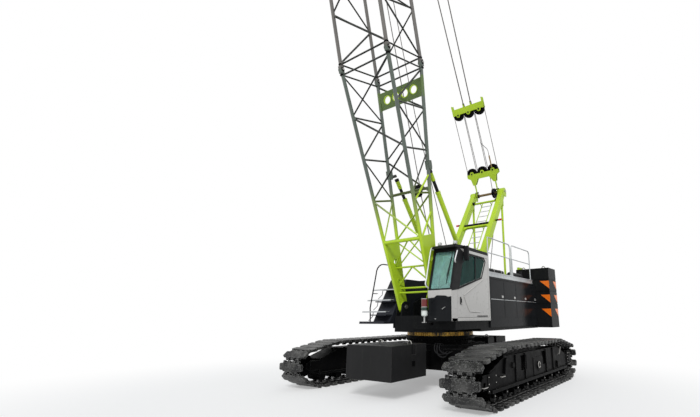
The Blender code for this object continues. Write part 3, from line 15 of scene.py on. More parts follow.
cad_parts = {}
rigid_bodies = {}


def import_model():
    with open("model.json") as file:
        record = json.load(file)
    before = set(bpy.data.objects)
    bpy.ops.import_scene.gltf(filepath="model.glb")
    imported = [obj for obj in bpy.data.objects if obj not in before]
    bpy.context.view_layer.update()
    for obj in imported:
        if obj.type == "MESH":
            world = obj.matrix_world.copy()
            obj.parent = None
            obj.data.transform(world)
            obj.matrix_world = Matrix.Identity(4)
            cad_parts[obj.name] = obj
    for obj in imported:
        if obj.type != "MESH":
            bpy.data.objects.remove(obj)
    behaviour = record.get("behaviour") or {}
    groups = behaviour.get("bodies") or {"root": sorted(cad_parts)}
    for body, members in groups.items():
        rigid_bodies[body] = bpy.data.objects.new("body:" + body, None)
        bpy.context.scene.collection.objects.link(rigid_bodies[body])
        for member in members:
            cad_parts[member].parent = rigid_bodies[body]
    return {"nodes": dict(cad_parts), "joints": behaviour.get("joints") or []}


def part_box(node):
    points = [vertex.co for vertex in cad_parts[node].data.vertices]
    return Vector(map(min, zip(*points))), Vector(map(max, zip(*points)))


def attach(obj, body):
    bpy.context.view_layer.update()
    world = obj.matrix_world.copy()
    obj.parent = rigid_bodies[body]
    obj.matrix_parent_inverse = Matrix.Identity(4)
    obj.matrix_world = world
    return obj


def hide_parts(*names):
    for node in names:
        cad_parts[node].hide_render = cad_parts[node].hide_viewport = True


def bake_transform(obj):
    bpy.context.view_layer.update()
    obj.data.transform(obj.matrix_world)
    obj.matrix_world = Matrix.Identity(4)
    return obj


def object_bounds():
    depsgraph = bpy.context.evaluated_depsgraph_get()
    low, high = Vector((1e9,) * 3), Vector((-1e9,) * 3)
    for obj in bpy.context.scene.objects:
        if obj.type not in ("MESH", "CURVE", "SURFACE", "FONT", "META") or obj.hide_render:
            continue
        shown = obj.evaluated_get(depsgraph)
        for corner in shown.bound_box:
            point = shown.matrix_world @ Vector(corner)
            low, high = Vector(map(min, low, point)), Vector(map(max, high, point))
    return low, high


for startup_object in list(bpy.data.objects):
    bpy.data.objects.remove(startup_object, do_unlink=True)
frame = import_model()
CAD_LOW, CAD_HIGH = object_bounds()
NODES = frame["nodes"]
JOINTS = {joint["name"]: joint for joint in frame["joints"]}
SLEW_Y = JOINTS["slew"]["pos_m"][1]
MACHINE = Matrix.Translation((0, SLEW_Y, 0))
MIRROR = Matrix.Scale(-1, 4, (1, 0, 0))
SIDES = ((1, "left", Matrix()), (-1, "right", MIRROR))


def extent(node):
    """A node's lowest and highest corners in the machine's own frame."""
    low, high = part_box(node)
    shift = Vector((0, SLEW_Y, 0))
    return low - shift, high - shift


def joint_place(name):
    x, y, z = JOINTS[name]["pos_m"]
    return Vector((x, y - SLEW_Y, z))


def leaning(origin, lean):
    """A frame at an origin, leaning back about x."""
    return Matrix.Translation(origin) @ Matrix.Rotation(lean, 4, "X")


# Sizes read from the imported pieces
TRACK_LOW, TRACK_HIGH = extent("track_left")
TRACK_X = (TRACK_LOW.x + TRACK_HIGH.x) / 2
SHOE_WIDTH = TRACK_HIGH.x - TRACK_LOW.x
TRACK_HALF_LENGTH = TRACK_HIGH.y
TRACK_HEIGHT = TRACK_HIGH.z
HOUSE_SIDE, _, HOUSE_TOP = extent("house_left")[1]
CAB_LOW, CAB_HIGH = extent("cab_shell")
WEIGHT_LOW, WEIGHT_HIGH = extent("counterweight_left")
WALKWAY_LOW, WALKWAY_HIGH = extent("left_walkway")
RAIL_LOW, RAIL_HIGH = extent("left_railing")
BOOM_FOOT = joint_place("boom_luff")
GANTRY_TOP = joint_place("lower_bail_swing")
HEAD_AXIS = joint_place("head_sheave_turn")

# Track loop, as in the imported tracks
TRACK_END_RADIUS = 0.46
TRACK_END_HEIGHT = 0.6
TRACK_SHOULDER_Y = 2.0
TRACK_TOE_Y = 2.72
SHOE_PITCH = 0.28
SHOE_DEPTH = 0.11
ROLLER_COUNT = 9
ROLLER_REACH = 2.5
ROLLER_AXIS_Z = 0.28
FRAME_FACE = 0.31

# Boom
BOOM_TILT = math.radians(90 - 74.7)
BOOM = leaning(BOOM_FOOT, BOOM_TILT)
FOOT_SECTION = 7.32
INSERT_SECTION = 11.1
HEAD_START = FOOT_SECTION + 2 * INSERT_SECTION
BOOM_WIDTH, BOOM_DEPTH = 1.8, 1.61
FOOT_WIDTH, FOOT_DEPTH = 1.2, 0.26
HOOK_BLOCK_DROP = 3.4

# Gantry and luffing line
GANTRY_FOOT = Vector((0, 0.93, 2.75))
GANTRY_X = 0.664
MAST_WIDTH, MAST_DEPTH = 0.2, 0.24
RUNG_PITCH = 0.3
BAIL_SPACING = 0.49
BAIL_RADIUS = 0.235
BAIL_SHOULDER = 0.09
LOWER_BAIL, UPPER_BAIL = 1.0, 3.56
LUFF_DIRECTION = Vector(JOINTS["luffing_line_reach"]["axis"])
LUFF_LEAN = math.atan2(-LUFF_DIRECTION.y, LUFF_DIRECTION.z)
LUFF = leaning(GANTRY_TOP, LUFF_LEAN)

# Winches: body, axis y, core radius and flange radius
WINCHES = {
    "main_hoist_drum": ("main_hoist", 0.22, 0.26, 0.4),
    "auxiliary_hoist_drum": ("auxiliary_hoist", 1.5, 0.26, 0.4),
    "luffing_drum": ("luffing_winch", 2.66, 0.22, 0.36),
}
WINCH_Z = 2.42
DRUM_HALF = 0.4

# Walkway and rails
WALKWAY_TOP = WALKWAY_LOW.z + 0.16
MIDDLE_RAIL_Z = WALKWAY_LOW.z + 0.77

# Cab
WAIST_Z = 2.62


# Materials


class Kit:
    """Builds a node tree. Inputs are {name or number: value or socket}."""

    def __init__(self, owner, blank=False):
        owner.use_nodes = True
        self.owner, self.tree = owner, owner.node_tree
        if blank:
            self.tree.nodes.clear()
        else:
            self.place = self.add("TexCoord")["Object"]

    def feed(self, node, inputs):
        for key, value in inputs.items():
            socket = node.inputs[key]
            if isinstance(value, bpy.types.NodeSocket):
                self.tree.links.new(value, socket)
            else:
                socket.default_value = (*value, 1.0) if socket.type == "RGBA" else value
        return node.outputs

    def add(self, kind, inputs=None, **settings):
        """The outputs of a new node."""
        node = self.tree.nodes.new("ShaderNode" + kind)
        for key, value in settings.items():
            setattr(node, key, value)
        return self.feed(node, inputs or {})

    def noise(self, scale, detail=4.0, distortion=0.0, roughness=0.55, vector=None):
        inputs = {"Scale": scale, "Detail": detail, "Roughness": roughness, "Distortion": distortion}
        inputs["Vector"] = self.place if vector is None else vector
        return self.add("TexNoise", inputs)["Fac"]

    def ramp(self, factor, low, high, low_value=0.0, high_value=1.0):
        """A smooth step of the factor from low to high."""
        inputs = {"Value": factor, "From Min": low, "From Max": high, "To Min": low_value,
                  "To Max": high_value}
        return self.add("MapRange", inputs, interpolation_type="SMOOTHSTEP")["Result"]

    def maths(self, operation, first, second=0.0):
        return self.add("Math", {0: first, 1: second}, operation=operation)["Value"]

    def times(self, first, second):
        return self.maths("MULTIPLY", first, second)

    def dot(self, first, second):
        return self.add("VectorMath", {0: first, 1: second}, operation="DOT_PRODUCT")["Value"]

    def mix(self, factor, first, second):
        """A colour mix. Either colour may be a socket or a value."""
        return self.add("Mix", {0: factor, 6: first, 7: second}, data_type="RGBA")[2]

    def edges(self, radius):
        """1 on outer edges and 0 on flats, from the normal that a rounded edge would have."""
        rounded_normal = self.add("Bevel", {"Radius": radius}, samples=6)["Normal"]
        bend = self.maths("SUBTRACT", 1.0, self.dot(rounded_normal, self.add("NewGeometry")["Normal"]))
        return self.ramp(bend, 0.02, 0.16)

    def seen_directly(self):
        """1 for the rays that show the background itself, and 0 for the rays that light the object."""
        path = self.add("LightPath")
        seen = self.maths("MAXIMUM", path["Is Camera Ray"], path["Is Glossy Ray"])
        return self.maths("MAXIMUM", seen, path["Is Transmission Ray"])

    def surface(self, kind, factor, first, second):
        """Ends the tree in a mix of two shaders."""
        shader = self.add("MixShader", {"Fac": factor, 1: first, 2: second})["Shader"]
        self.add("Output" + kind, {"Surface": shader})

    def finish(self, tone, rough, inputs, height=None, strength=0.0, distance=0.0):
        """Feeds the principled shader, with relief from a height where one is given."""
        inputs.update({"Base Color": tone, "Roughness": rough})
        if height is not None:
            bump = self.add("Bump", {"Height": height, "Strength": strength, "Distance": distance})
            inputs["Normal"] = bump["Normal"]
        self.feed(self.tree.nodes["Principled BSDF"], inputs)
        return self.owner


def material_kit(name):
    return Kit(bpy.data.materials.new(name))


def shade(colour, factor):
    return tuple(min(1.0, c * factor) for c in colour)


def painted(name, colour, roughness, tint=0.14, dust=0.25, dust_colour=(0.3, 0.27, 0.22), grain=0.25,
            metallic=0.0, coat=0.0, wear=0.0, wear_colour=(0.35, 0.35, 0.34), base=None, gloss=0.5):
    """Coated steel: slow changes of tone, streaks, dust, fine grain, and bare edges where worn."""
    kit = material_kit(name)
    tone = kit.mix(kit.ramp(kit.noise(0.8, 5), 0.3, 0.7), shade(colour, 1 - tint), shade(colour, 1 + tint))
    if base is not None:
        tone = base(kit, tone)
    drawn_out = kit.add("Mapping", {"Vector": kit.place, "Scale": (5, 5, 0.5)})["Vector"]
    streaks = kit.noise(1.6, 6, 0.4, vector=drawn_out)
    specks = kit.noise(9, 8, 0.6, 0.7)
    dirt = kit.times(kit.ramp(streaks, 0.45, 0.75), kit.ramp(specks, 0.4, 0.75))
    tone = kit.mix(kit.times(dirt, dust), tone, dust_colour)
    if wear:
        bare = kit.times(kit.edges(0.012), kit.ramp(specks, 0.35, 0.6))
        tone = kit.mix(kit.times(bare, wear), tone, wear_colour)
    rough = kit.ramp(specks, 0.3, 0.7, max(0.02, roughness - 0.06), min(1.0, roughness + 0.1))
    inputs = {"Metallic": metallic, "Specular IOR Level": gloss}
    if coat:
        inputs.update({"Coat Weight": coat, "Coat Roughness": 0.06})
    return kit.finish(tone, rough, inputs, kit.noise(160, 3), grain, 0.001)


def boom_reading(kit, axis):
    """The position along one of the boom's own axes, in metres from the middle of its foot pins."""
    run = BOOM.to_3x3() @ Vector(axis)
    return kit.maths("SUBTRACT", kit.dot(kit.place, run), (MACHINE @ BOOM_FOOT).dot(run))


def along_boom(kit, start, end):
    """0 below start and 1 beyond end, in metres along the boom from its foot pins."""
    return kit.ramp(boom_reading(kit, (0, 0, 1)), start, end)


def chord_mask(kit):
    """1 on the four chords, the joints and the head, and 0 on the thinner braces between the chords, which
    get painted shade.
    """
    share = kit.maths("DIVIDE", boom_reading(kit, (0, 0, 1)), FOOT_SECTION)
    share = kit.maths("MINIMUM", kit.maths("MAXIMUM", share, 0.0), 1.0)
    gaps = []
    for axis, narrow, wide in (((1, 0, 0), FOOT_WIDTH, BOOM_WIDTH), ((0, 1, 0), FOOT_DEPTH, BOOM_DEPTH)):
        half = kit.maths("ADD", kit.times(share, (wide - narrow) / 2), narrow / 2)
        reach = kit.maths("ABSOLUTE", boom_reading(kit, axis))
        gaps.append(kit.maths("ABSOLUTE", kit.maths("SUBTRACT", reach, half)))
    near = kit.ramp(kit.maths("MAXIMUM", *gaps), 0.075, 0.115, 1.0, 0.0)
    return kit.maths("MAXIMUM", near, along_boom(kit, HEAD_START + 0.5, HEAD_START + 0.7))


def foot_fade(kit, tone):
    """Lime legs that pass into grey-green chords, braces painted near-black as shade, and the olive cross
    plate above.
    """
    grey = kit.mix(kit.noise(1.5), (0.082, 0.104, 0.088), (0.118, 0.14, 0.118))
    # The thin braces get near-black painted shade.
    grey = kit.mix(chord_mask(kit), SHADED_BRACE_TONE, grey)
    plate = kit.maths("SUBTRACT", along_boom(kit, 6.22, 6.27), along_boom(kit, 6.9, 6.95))
    rear = kit.ramp(boom_reading(kit, (0, 1, 0)), BOOM_DEPTH / 2 - 0.16, BOOM_DEPTH / 2 - 0.11)
    grey = kit.mix(kit.times(plate, rear), grey, (0.095, 0.15, 0.04))
    return kit.mix(along_boom(kit, 1.9, 3.9), tone, grey)


def upper_fade(kit, tone):
    """Warm grey chords above the foot section, and braces between them painted near-black as shade."""
    brown = kit.mix(kit.noise(1.2), (0.115, 0.108, 0.1), (0.185, 0.174, 0.16))
    chords = kit.mix(along_boom(kit, FOOT_SECTION - 0.05, FOOT_SECTION + 0.1), tone, brown)
    # The thin braces get near-black painted shade.
    return kit.mix(chord_mask(kit), SHADED_BRACE_TONE, chords)


def worn_steel():
    """Track shoes: dark cast steel, rubbed bright on the pads and edges."""
    kit = material_kit("worn_track_steel")
    fine = kit.noise(26, 8, 0.4, 0.7)
    tone = kit.mix(kit.ramp(kit.noise(2.2, 6, 0.5), 0.35, 0.7), (0.01, 0.01, 0.0105), (0.085, 0.084, 0.081))
    tone = kit.mix(kit.times(kit.ramp(fine, 0.5, 0.68), 0.6), tone, (0.27, 0.27, 0.262))
    tone = kit.mix(kit.times(kit.edges(0.014), 0.75), tone, (0.42, 0.42, 0.41))
    rough = kit.ramp(fine, 0.3, 0.7, 0.34, 0.55)
    inputs = {"Metallic": 0.3, "Specular IOR Level": 0.15}
    return kit.finish(tone, rough, inputs, kit.noise(55, 5), 0.5, 0.003)


def greased():
    """Ring teeth under golden grease that lies in blobs, dark brown between them."""
    kit = material_kit("greased_ring_gear")
    blobs = kit.noise(3.2, 6, 1.0)
    tone = kit.mix(kit.ramp(blobs, 0.4, 0.62), (0.035, 0.026, 0.012), (0.62, 0.36, 0.04))
    rough = kit.ramp(blobs, 0.3, 0.7, 0.45, 0.2)
    return kit.finish(tone, rough, {"Metallic": 0.35}, kit.noise(22), 0.6, 0.004)


def glazed(name, colour, clear, gloss, ior):
    """Tinted window glass with a faint film of dust."""
    kit = material_kit(name)
    film = kit.noise(4.0, 6, 0.3)
    tone = kit.mix(kit.ramp(film, 0.35, 0.75), colour, shade(colour, 1.25))
    rough = kit.ramp(film, 0.4, 0.8, 0.01, 0.07)
    return kit.finish(tone, rough, {"Transmission Weight": clear, "IOR": ior, "Specular IOR Level": gloss})


def lamp_lens(name, colour):
    """A ribbed lens."""
    kit = material_kit(name)
    ribs = kit.add("TexWave", {"Scale": 60, "Vector": kit.place}, bands_direction="Z")["Fac"]
    tone = kit.mix(ribs, shade(colour, 0.75), shade(colour, 1.1))
    return kit.finish(tone, 0.12, {"Coat Weight": 0.2}, ribs, 0.4, 0.002)


def wire_rope():
    """Laid strands seen as diagonal ribs across the rope."""
    kit = material_kit("laid_wire_rope")
    inputs = {"Scale": 22, "Distortion": 0.4, "Vector": kit.place}
    strands = kit.add("TexWave", inputs, bands_direction="DIAGONAL")["Fac"]
    tone = kit.mix(strands, (0.035, 0.033, 0.031), (0.2, 0.19, 0.18))
    rough = kit.ramp(kit.noise(30), 0.3, 0.7, 0.35, 0.6)
    return kit.finish(tone, rough, {"Metallic": 0.7}, strands, 0.7, 0.003)


LIME_COLOUR = (0.42, 0.6, 0.02)
# Near-black painted shade for the boom's lattice braces
SHADED_BRACE_TONE = (0.014, 0.017, 0.013)
LIME = painted("lime_coat", LIME_COLOUR, 0.34, tint=0.07, dust=0.16, coat=0.12, gloss=0.3)
# Both boom coats paint the lattice braces near-black as shade.
FOOT_PAINT = painted("lime_to_grey_coat", LIME_COLOUR, 0.36, tint=0.07, dust=0.18, coat=0.1, gloss=0.3,
                     base=foot_fade)
BOOM_PAINT = painted("grey_green_coat", (0.095, 0.118, 0.094), 0.42, tint=0.15, dust=0.25, gloss=0.25,
                     dust_colour=(0.12, 0.12, 0.11), base=upper_fade)
CHARCOAL = painted("charcoal_gloss", (0.012, 0.013, 0.0145), 0.16, tint=0.2, dust=0.1, gloss=0.05,
                   dust_colour=(0.035, 0.038, 0.034), grain=0.08)
SLAB_PAINT = painted("charcoal_weight_coat", (0.01, 0.0105, 0.0112), 0.3, tint=0.25, dust=0.45,
                     dust_colour=(0.045, 0.05, 0.04), grain=0.35, gloss=0.04)
STEP_PAINT = painted("blue_grey_step_coat", (0.02, 0.022, 0.028), 0.42, tint=0.2, dust=0.3,
                     dust_colour=(0.06, 0.06, 0.065), gloss=0.15)
BLACK = painted("black_chassis_coat", (0.0028, 0.0028, 0.003), 0.4, tint=0.2, dust=0.3, wear=0.6,
                dust_colour=(0.02, 0.019, 0.017), wear_colour=(0.12, 0.12, 0.12), gloss=0.03)
RUBBER = painted("black_rubber", (0.01, 0.01, 0.011), 0.55, tint=0.1, dust=0.35, grain=0.5,
                 dust_colour=(0.04, 0.04, 0.04), gloss=0.15)
BLOCK_PAINT = painted("carbody_weight_coat", (0.013, 0.013, 0.0135), 0.45, tint=0.15, dust=0.35, grain=0.6,
                      dust_colour=(0.045, 0.044, 0.04), wear=0.5, wear_colour=(0.16, 0.16, 0.155), gloss=0.12)
CAB_GREY = painted("warm_grey_cab_coat", (0.48, 0.47, 0.45), 0.3, tint=0.04, dust=0.1, coat=0.4,
                   dust_colour=(0.36, 0.34, 0.3), grain=0.1)
GALVANISED = painted("galvanised_coat", (0.5, 0.52, 0.53), 0.38, tint=0.16, dust=0.2, metallic=0.65,
                     dust_colour=(0.3, 0.3, 0.29), grain=0.4)
WHITE_RAIL = painted("white_rail_coat", (0.78, 0.79, 0.8), 0.3, tint=0.04, dust=0.12, coat=0.3)
ORANGE = painted("orange_marking", (0.85, 0.17, 0.005), 0.3, tint=0.06, dust=0.1, coat=0.3)
RED = painted("red_marking", (0.55, 0.01, 0.01), 0.35, tint=0.06, dust=0.1)
BARE_STEEL = painted("bright_pin_steel", (0.42, 0.41, 0.39), 0.3, tint=0.15, dust=0.25, metallic=0.9)
BRONZE = painted("axle_steel", (0.22, 0.15, 0.07), 0.36, tint=0.2, dust=0.3, metallic=0.7)
LATCH = painted("satin_latch", (0.45, 0.45, 0.44), 0.32, tint=0.08, dust=0.1, metallic=0.6)
SEAT_CLOTH = painted("seat_cloth", (0.03, 0.032, 0.036), 0.9, tint=0.2, dust=0.1, grain=1.0)
CABIN_TRIM = painted("cabin_trim", (0.045, 0.047, 0.05), 0.6, tint=0.1, dust=0.1, grain=0.6)
SHOE_STEEL = worn_steel()
RING_GREASE = greased()
WIRE = wire_rope()
SCREEN_GLASS = glazed("windscreen_glass", (0.46, 0.8, 0.75), 0.8, 0.35, 1.45)
SIDE_GLASS = glazed("side_window_glass", (0.06, 0.17, 0.15), 0.8, 0.1, 1.12)
RED_LENS = lamp_lens("red_lens", (0.15, 0.006, 0.006))
GREEN_LENS = lamp_lens("green_lens", (0.003, 0.035, 0.022))
WHITE_LENS = lamp_lens("white_lens", (0.78, 0.82, 0.78))
LAMP_GLASS = lamp_lens("work_lamp_glass", (0.7, 0.72, 0.74))


# Forms: each is (points, faces)


def rounded(shape, bevel, segments=2, angle=30):
    """The form of a mesh, with its edges rounded where they turn by more than an angle."""
    if bevel:
        edges = [edge for edge in shape.edges if edge.calc_face_angle(0) > math.radians(angle)]
        bmesh.ops.bevel(shape, geom=edges, offset=bevel, segments=segments, affect="EDGES", profile=0.5)
    shape.verts.index_update()
    points = np.array([vertex.co for vertex in shape.verts])
    faces = [tuple(vertex.index for vertex in face.verts) for face in shape.faces]
    shape.free()
    return points, faces


def block(low, high, bevel=0.0, segments=2):
    low, high = Vector(low), Vector(high)
    shape = bmesh.new()
    bmesh.ops.create_cube(shape, size=1.0)
    bmesh.ops.scale(shape, vec=high - low, verts=shape.verts)
    bmesh.ops.translate(shape, vec=(low + high) / 2, verts=shape.verts)
    return rounded(shape, bevel, segments)


def lump(middle, half, bevel=0.0, segments=2):
    """A block given by its middle and half its sizes."""
    return block(Vector(middle) - Vector(half), Vector(middle) + Vector(half), bevel, segments)


def bar(start, end, radius, sides=14, bevel=0.0):
    start, end = Vector(start), Vector(end)
    turn = Vector((0, 0, 1)).rotation_difference(end - start).to_matrix().to_4x4()
    shape = bmesh.new()
    bmesh.ops.create_cone(shape, cap_ends=True, segments=sides, radius1=radius, radius2=radius,
                          depth=(end - start).length, matrix=Matrix.Translation((start + end) / 2) @ turn)
    return rounded(shape, bevel, angle=60)


def pin(middle, half, radius, sides=14, bevel=0.0):
    """A bar along x, given by its middle and half its length."""
    x, y, z = middle
    return bar((x - half, y, z), (x + half, y, z), radius, sides, bevel)


def at_level(u, v, level, facing):
    """The point (u, v) of a flat outline, at a level along the axis that the outline faces."""
    place = [u, v]
    place.insert("XYZ".index(facing), level)
    return place


def slab(outline, low, high, facing="X", bevel=0.0, segments=2):
    """An extruded outline in (y, z) when it faces X, (x, z) for Y and (x, y) for Z."""
    shape = bmesh.new()
    face = shape.faces.new([shape.verts.new(at_level(u, v, low, facing)) for u, v in outline])
    grown = bmesh.ops.extrude_face_region(shape, geom=[face])
    top = [item for item in grown["geom"] if isinstance(item, bmesh.types.BMVert)]
    bmesh.ops.translate(shape, vec=Vector(at_level(0, 0, high - low, facing)), verts=top)
    bmesh.ops.recalc_face_normals(shape, faces=shape.faces)
    return rounded(shape, bevel, segments)


def frame_ring(outer, inner, low, high, facing, bevel=0.006):
    """A closed frame between two outlines with the same number of points."""
    shape = bmesh.new()
    loops = [[shape.verts.new(at_level(u, v, level, facing)) for u, v in outline]
             for outline, level in ((outer, low), (inner, low), (inner, high), (outer, high))]
    for first, second in zip(loops, loops[1:] + loops[:1]):
        for k in range(len(outer)):
            n = (k + 1) % len(outer)
            shape.faces.new((first[k], first[n], second[n], second[k]))
    bmesh.ops.recalc_face_normals(shape, faces=shape.faces)
    return rounded(shape, bevel)


def sweep(points, radius, sides=10, closed=False):
    """A round tube along points, its section carried along without twist."""
    points = [Vector(point) for point in points]
    count = len(points)
    rings = []
    normal = None
    for i, point in enumerate(points):
        ahead = points[(i + 1) % count] if closed or i + 1 < count else point
        behind = points[i - 1] if closed or i else point
        run = (ahead - behind).normalized()
        if normal is None:
            normal = run.orthogonal().normalized()
        normal = (normal - run * normal.dot(run)).normalized()
        across = run.cross(normal)
        for k in range(sides):
            angle = 2 * math.pi * k / sides
            rings.append(point + (normal * math.cos(angle) + across * math.sin(angle)) * radius)
    faces = []
    for i in range(count if closed else count - 1):
        for k in range(sides):
            a, b = i * sides, ((i + 1) % count) * sides
            n = (k + 1) % sides
            faces.append((a + k, a + n, b + n, b + k))
    if not closed:
        faces.append(tuple(reversed(range(sides))))
        faces.append(tuple((count - 1) * sides + k for k in range(sides)))
    return np.array(rings), faces


def spun(profile, place, steps=40, axis="X"):
    """A turned form from (radius, position) points. Points on the axis are joined to one."""
    points, faces, rings = [], [], []
    for radius, along in profile:
        if radius < 1e-6:
            rings.append([len(points)] * steps)
            points.append((along, 0, 0))
            continue
        rings.append(list(range(len(points), len(points) + steps)))
        for k in range(steps):
            angle = 2 * math.pi * k / steps
            points.append((along, radius * math.cos(angle), radius * math.sin(angle)))
    for first, second in zip(rings, rings[1:]):
        for k in range(steps):
            n = (k + 1) % steps
            face = tuple(dict.fromkeys([first[k], second[k], second[n], first[n]]))
            if len(face) > 2:
                faces.append(face)
    return np.roll(np.array(points, float), "XYZ".index(axis), axis=1) + np.array(place), faces


def ring(inner, outer, low, high, place, steps, axis="X"):
    """A flat ring or collar."""
    return spun([(inner, low), (outer, low), (outer, high), (inner, high), (inner, low)], place, steps, axis)


def drum(radius, low, high, place, steps, axis="X"):
    """A plain closed cylinder."""
    return spun([(0, low), (radius, low), (radius, high), (0, high)], place, steps, axis)


def sheave_form(radius, root, half, place, axis="X", steps=48):
    """A rope sheave with a dished web, a hub and a round groove."""
    hub = max(0.05, radius * 0.25)
    web = half * 0.35
    side = [(hub * 0.5, half), (hub, half), (hub, web), (root - 0.03, web), (root - 0.02, half * 0.9),
            (radius, half)]
    groove = [(root + (radius - root) * (1 - math.sin(a)), half * 0.62 * -math.cos(a))
              for a in np.linspace(0, math.pi, 9)]
    profile = [(r, -x) for r, x in side] + groove + side[::-1] + [(hub * 0.5, -half)]
    return spun(profile, place, steps, axis)


def mirror_half(half):
    """The left half of an outline, from its right half read backwards."""
    return [(-u, v) for u, v in reversed(half)]


def arc(centre, radius, start, end, steps):
    angles = (math.radians(start + (end - start) * i / steps) for i in range(steps + 1))
    return [(centre[0] + radius * math.cos(a), centre[1] + radius * math.sin(a)) for a in angles]


def hoop(centre, radius, start, end, steps):
    """Points on an arc that faces X."""
    return [(centre[0], y, z) for y, z in arc(centre[1:], radius, start, end, steps)]


def line(start, end, count=24):
    """Points on a straight rope, spaced closely along it."""
    return [Vector(start).lerp(Vector(end), k / count) for k in range(count + 1)]


def smooth_path(points, count):
    """Points on a smooth curve through the given ones."""
    points = [Vector(point) for point in points]
    padded = [points[0]] + points + [points[-1]]
    made = []
    spans = len(points) - 1
    for i in range(count + 1):
        k = min(int(i / count * spans), spans - 1)
        t = i / count * spans - k
        p0, p1, p2, p3 = padded[k:k + 4]
        made.append(0.5 * (2 * p1 + (p2 - p0) * t + (2 * p0 - 5 * p1 + 4 * p2 - p3) * t * t
                           + (3 * p1 - p0 - 3 * p2 + p3) * t ** 3))
    return made


def eye(x, y, z, half, tall, radius, steps, sides):
    """A lifting eye that faces Y."""
    angles = np.linspace(0, math.pi, steps + 1)
    return sweep([(x + half * math.cos(a), y, z + tall * math.sin(a)) for a in angles], radius, sides)


def bolt_heads(places, facing, radius=0.018, depth=0.014):
    """Six-sided heads standing on a face whose outward direction is given."""
    outward = Vector(facing) * depth
    return [bar(place, Vector(place) + outward, radius, 6, 0.002) for place in places]


def moved(form, matrix):
    points, faces = form
    matrix = np.array(matrix)
    made = points @ matrix[:3, :3].T + matrix[:3, 3]
    if np.linalg.det(matrix[:3, :3]) < 0:
        faces = [face[::-1] for face in faces]
    return made, faces


def both_sides(forms):
    return forms + [moved(form, MIRROR) for form in forms]


def even(obj):
    """Flat faces stay flat in the shading beside their rounded edges."""
    weighted = obj.modifiers.new("even_shading", "WEIGHTED_NORMAL")
    weighted.keep_sharp = True


def show(name, groups, body="superstructure", replaces=(), place=Matrix()):
    """Joins forms into one named piece that rides a body named by a string, and stays fixed otherwise. groups
    is [(forms, material), ...].
    """
    points, faces, indices = [], [], []
    count = 0
    for index, (forms, _) in enumerate(groups):
        for form_points, form_faces in (moved(form, place) for form in forms):
            points.append(form_points)
            faces += [tuple(i + count for i in face) for face in form_faces]
            indices += [index] * len(form_faces)
            count += len(form_points)
    mesh = bpy.data.meshes.new(name)
    mesh.from_pydata(np.concatenate(points).tolist(), [], faces)
    for _, material in groups:
        mesh.materials.append(material)
    mesh.polygons.foreach_set("material_index", indices)
    mesh.transform(MACHINE)
    mesh.update()
    shape = bmesh.new()
    shape.from_mesh(mesh)
    bmesh.ops.recalc_face_normals(shape, faces=shape.faces)
    shape.to_mesh(mesh)
    shape.free()
    mesh.shade_smooth()
    mesh.set_sharp_from_angle(angle=math.radians(35))
    obj = bpy.data.objects.new(name, mesh)
    bpy.context.scene.collection.objects.link(obj)
    even(obj)
    if isinstance(body, str):
        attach(obj, body)
    else:
        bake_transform(obj)
    if replaces:
        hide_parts(*replaces)


# Tracks


def track_path():
    """The loop of the shoes' pins seen from the side, as (y, z) points from the rear toe round to it."""
    pin_radius = TRACK_END_RADIUS - SHOE_DEPTH
    centre_y = TRACK_HALF_LENGTH - TRACK_END_RADIUS
    rear = arc((centre_y, TRACK_END_HEIGHT), pin_radius, -70, 75, 14)
    front = [(-y, z) for y, z in reversed(rear)]
    top = TRACK_HEIGHT - SHOE_DEPTH
    upper = [(TRACK_SHOULDER_Y, top), (-TRACK_SHOULDER_Y, top)]
    lower = [(-TRACK_TOE_Y, SHOE_DEPTH), (TRACK_TOE_Y, SHOE_DEPTH)]
    return rear + upper + front + lower


def walk(path, count):
    """Evenly spaced points and directions on a closed path."""
    points = [Vector((0, y, z)) for y, z in path]
    ends = points[1:] + points[:1]
    lengths = [(b - a).length for a, b in zip(points, ends)]
    total = sum(lengths)
    places = []
    for i in range(count):
        left = total * i / count
        for a, b, length in zip(points, ends, lengths):
            if left <= length:
                places.append((a.lerp(b, left / length), (b - a).normalized()))
                break
            left -= length
    return places


def shoe_forms(pitch):
    """One flat shoe: a pad with rounded end tabs, hinge knuckles on both edges, and drive lugs inside, and
    black painted shade in the gaps between shoes and in the pad's holes.
    """
    half = SHOE_WIDTH / 2
    shoulder, tab, edge = 0.335, 0.092, pitch / 2 - 0.018
    quarter = [(shoulder - 0.015, edge), (shoulder, tab), (half - 0.03, tab), (half - 0.009, tab - 0.011),
               (half, tab - 0.034)]
    right = [(x, -t) for x, t in quarter] + [(x, t) for x, t in reversed(quarter)]
    forms = [slab(right + [(-x, -t) for x, t in right], 0.035, SHOE_DEPTH, "Z", 0.009)]
    for t, centres in ((pitch / 2, (-0.22, 0.0, 0.22)), (-pitch / 2, (-0.3, -0.11, 0.11, 0.3))):
        for x in centres:
            length = 0.04 if abs(x) > 0.25 else 0.05
            forms.append(pin((x, t, 0.055), length, 0.03, 10))
            forms.append(lump((x, t * 0.875, 0.056), (length, pitch / 16, 0.026), 0.004, 1))
    forms += [lump((x, 0, -0.005), (0.035, 0.05, 0.045), 0.008) for x in (-0.13, 0.13)]
    forms.append(lump((0, 0, 0.02), (0.3, edge - 0.02, 0.02), 0.01, 1))
    # Black painted shade: a web that fills the gaps between shoes, and discs that stand for the pad's dark
    # holes.
    painted_shade_pieces = [lump((0, 0, 0.017), (0.31, pitch / 2 + 0.004, 0.013))]
    for x, t in ((half - 0.075, 0.045), (half - 0.12, -0.05), (0.075 - half, 0.045), (0.12 - half, -0.05)):
        painted_shade_pieces.append(bar((x, t, SHOE_DEPTH - 0.02), (x, t, SHOE_DEPTH + 0.0008), 0.013, 10))
    return forms, painted_shade_pieces


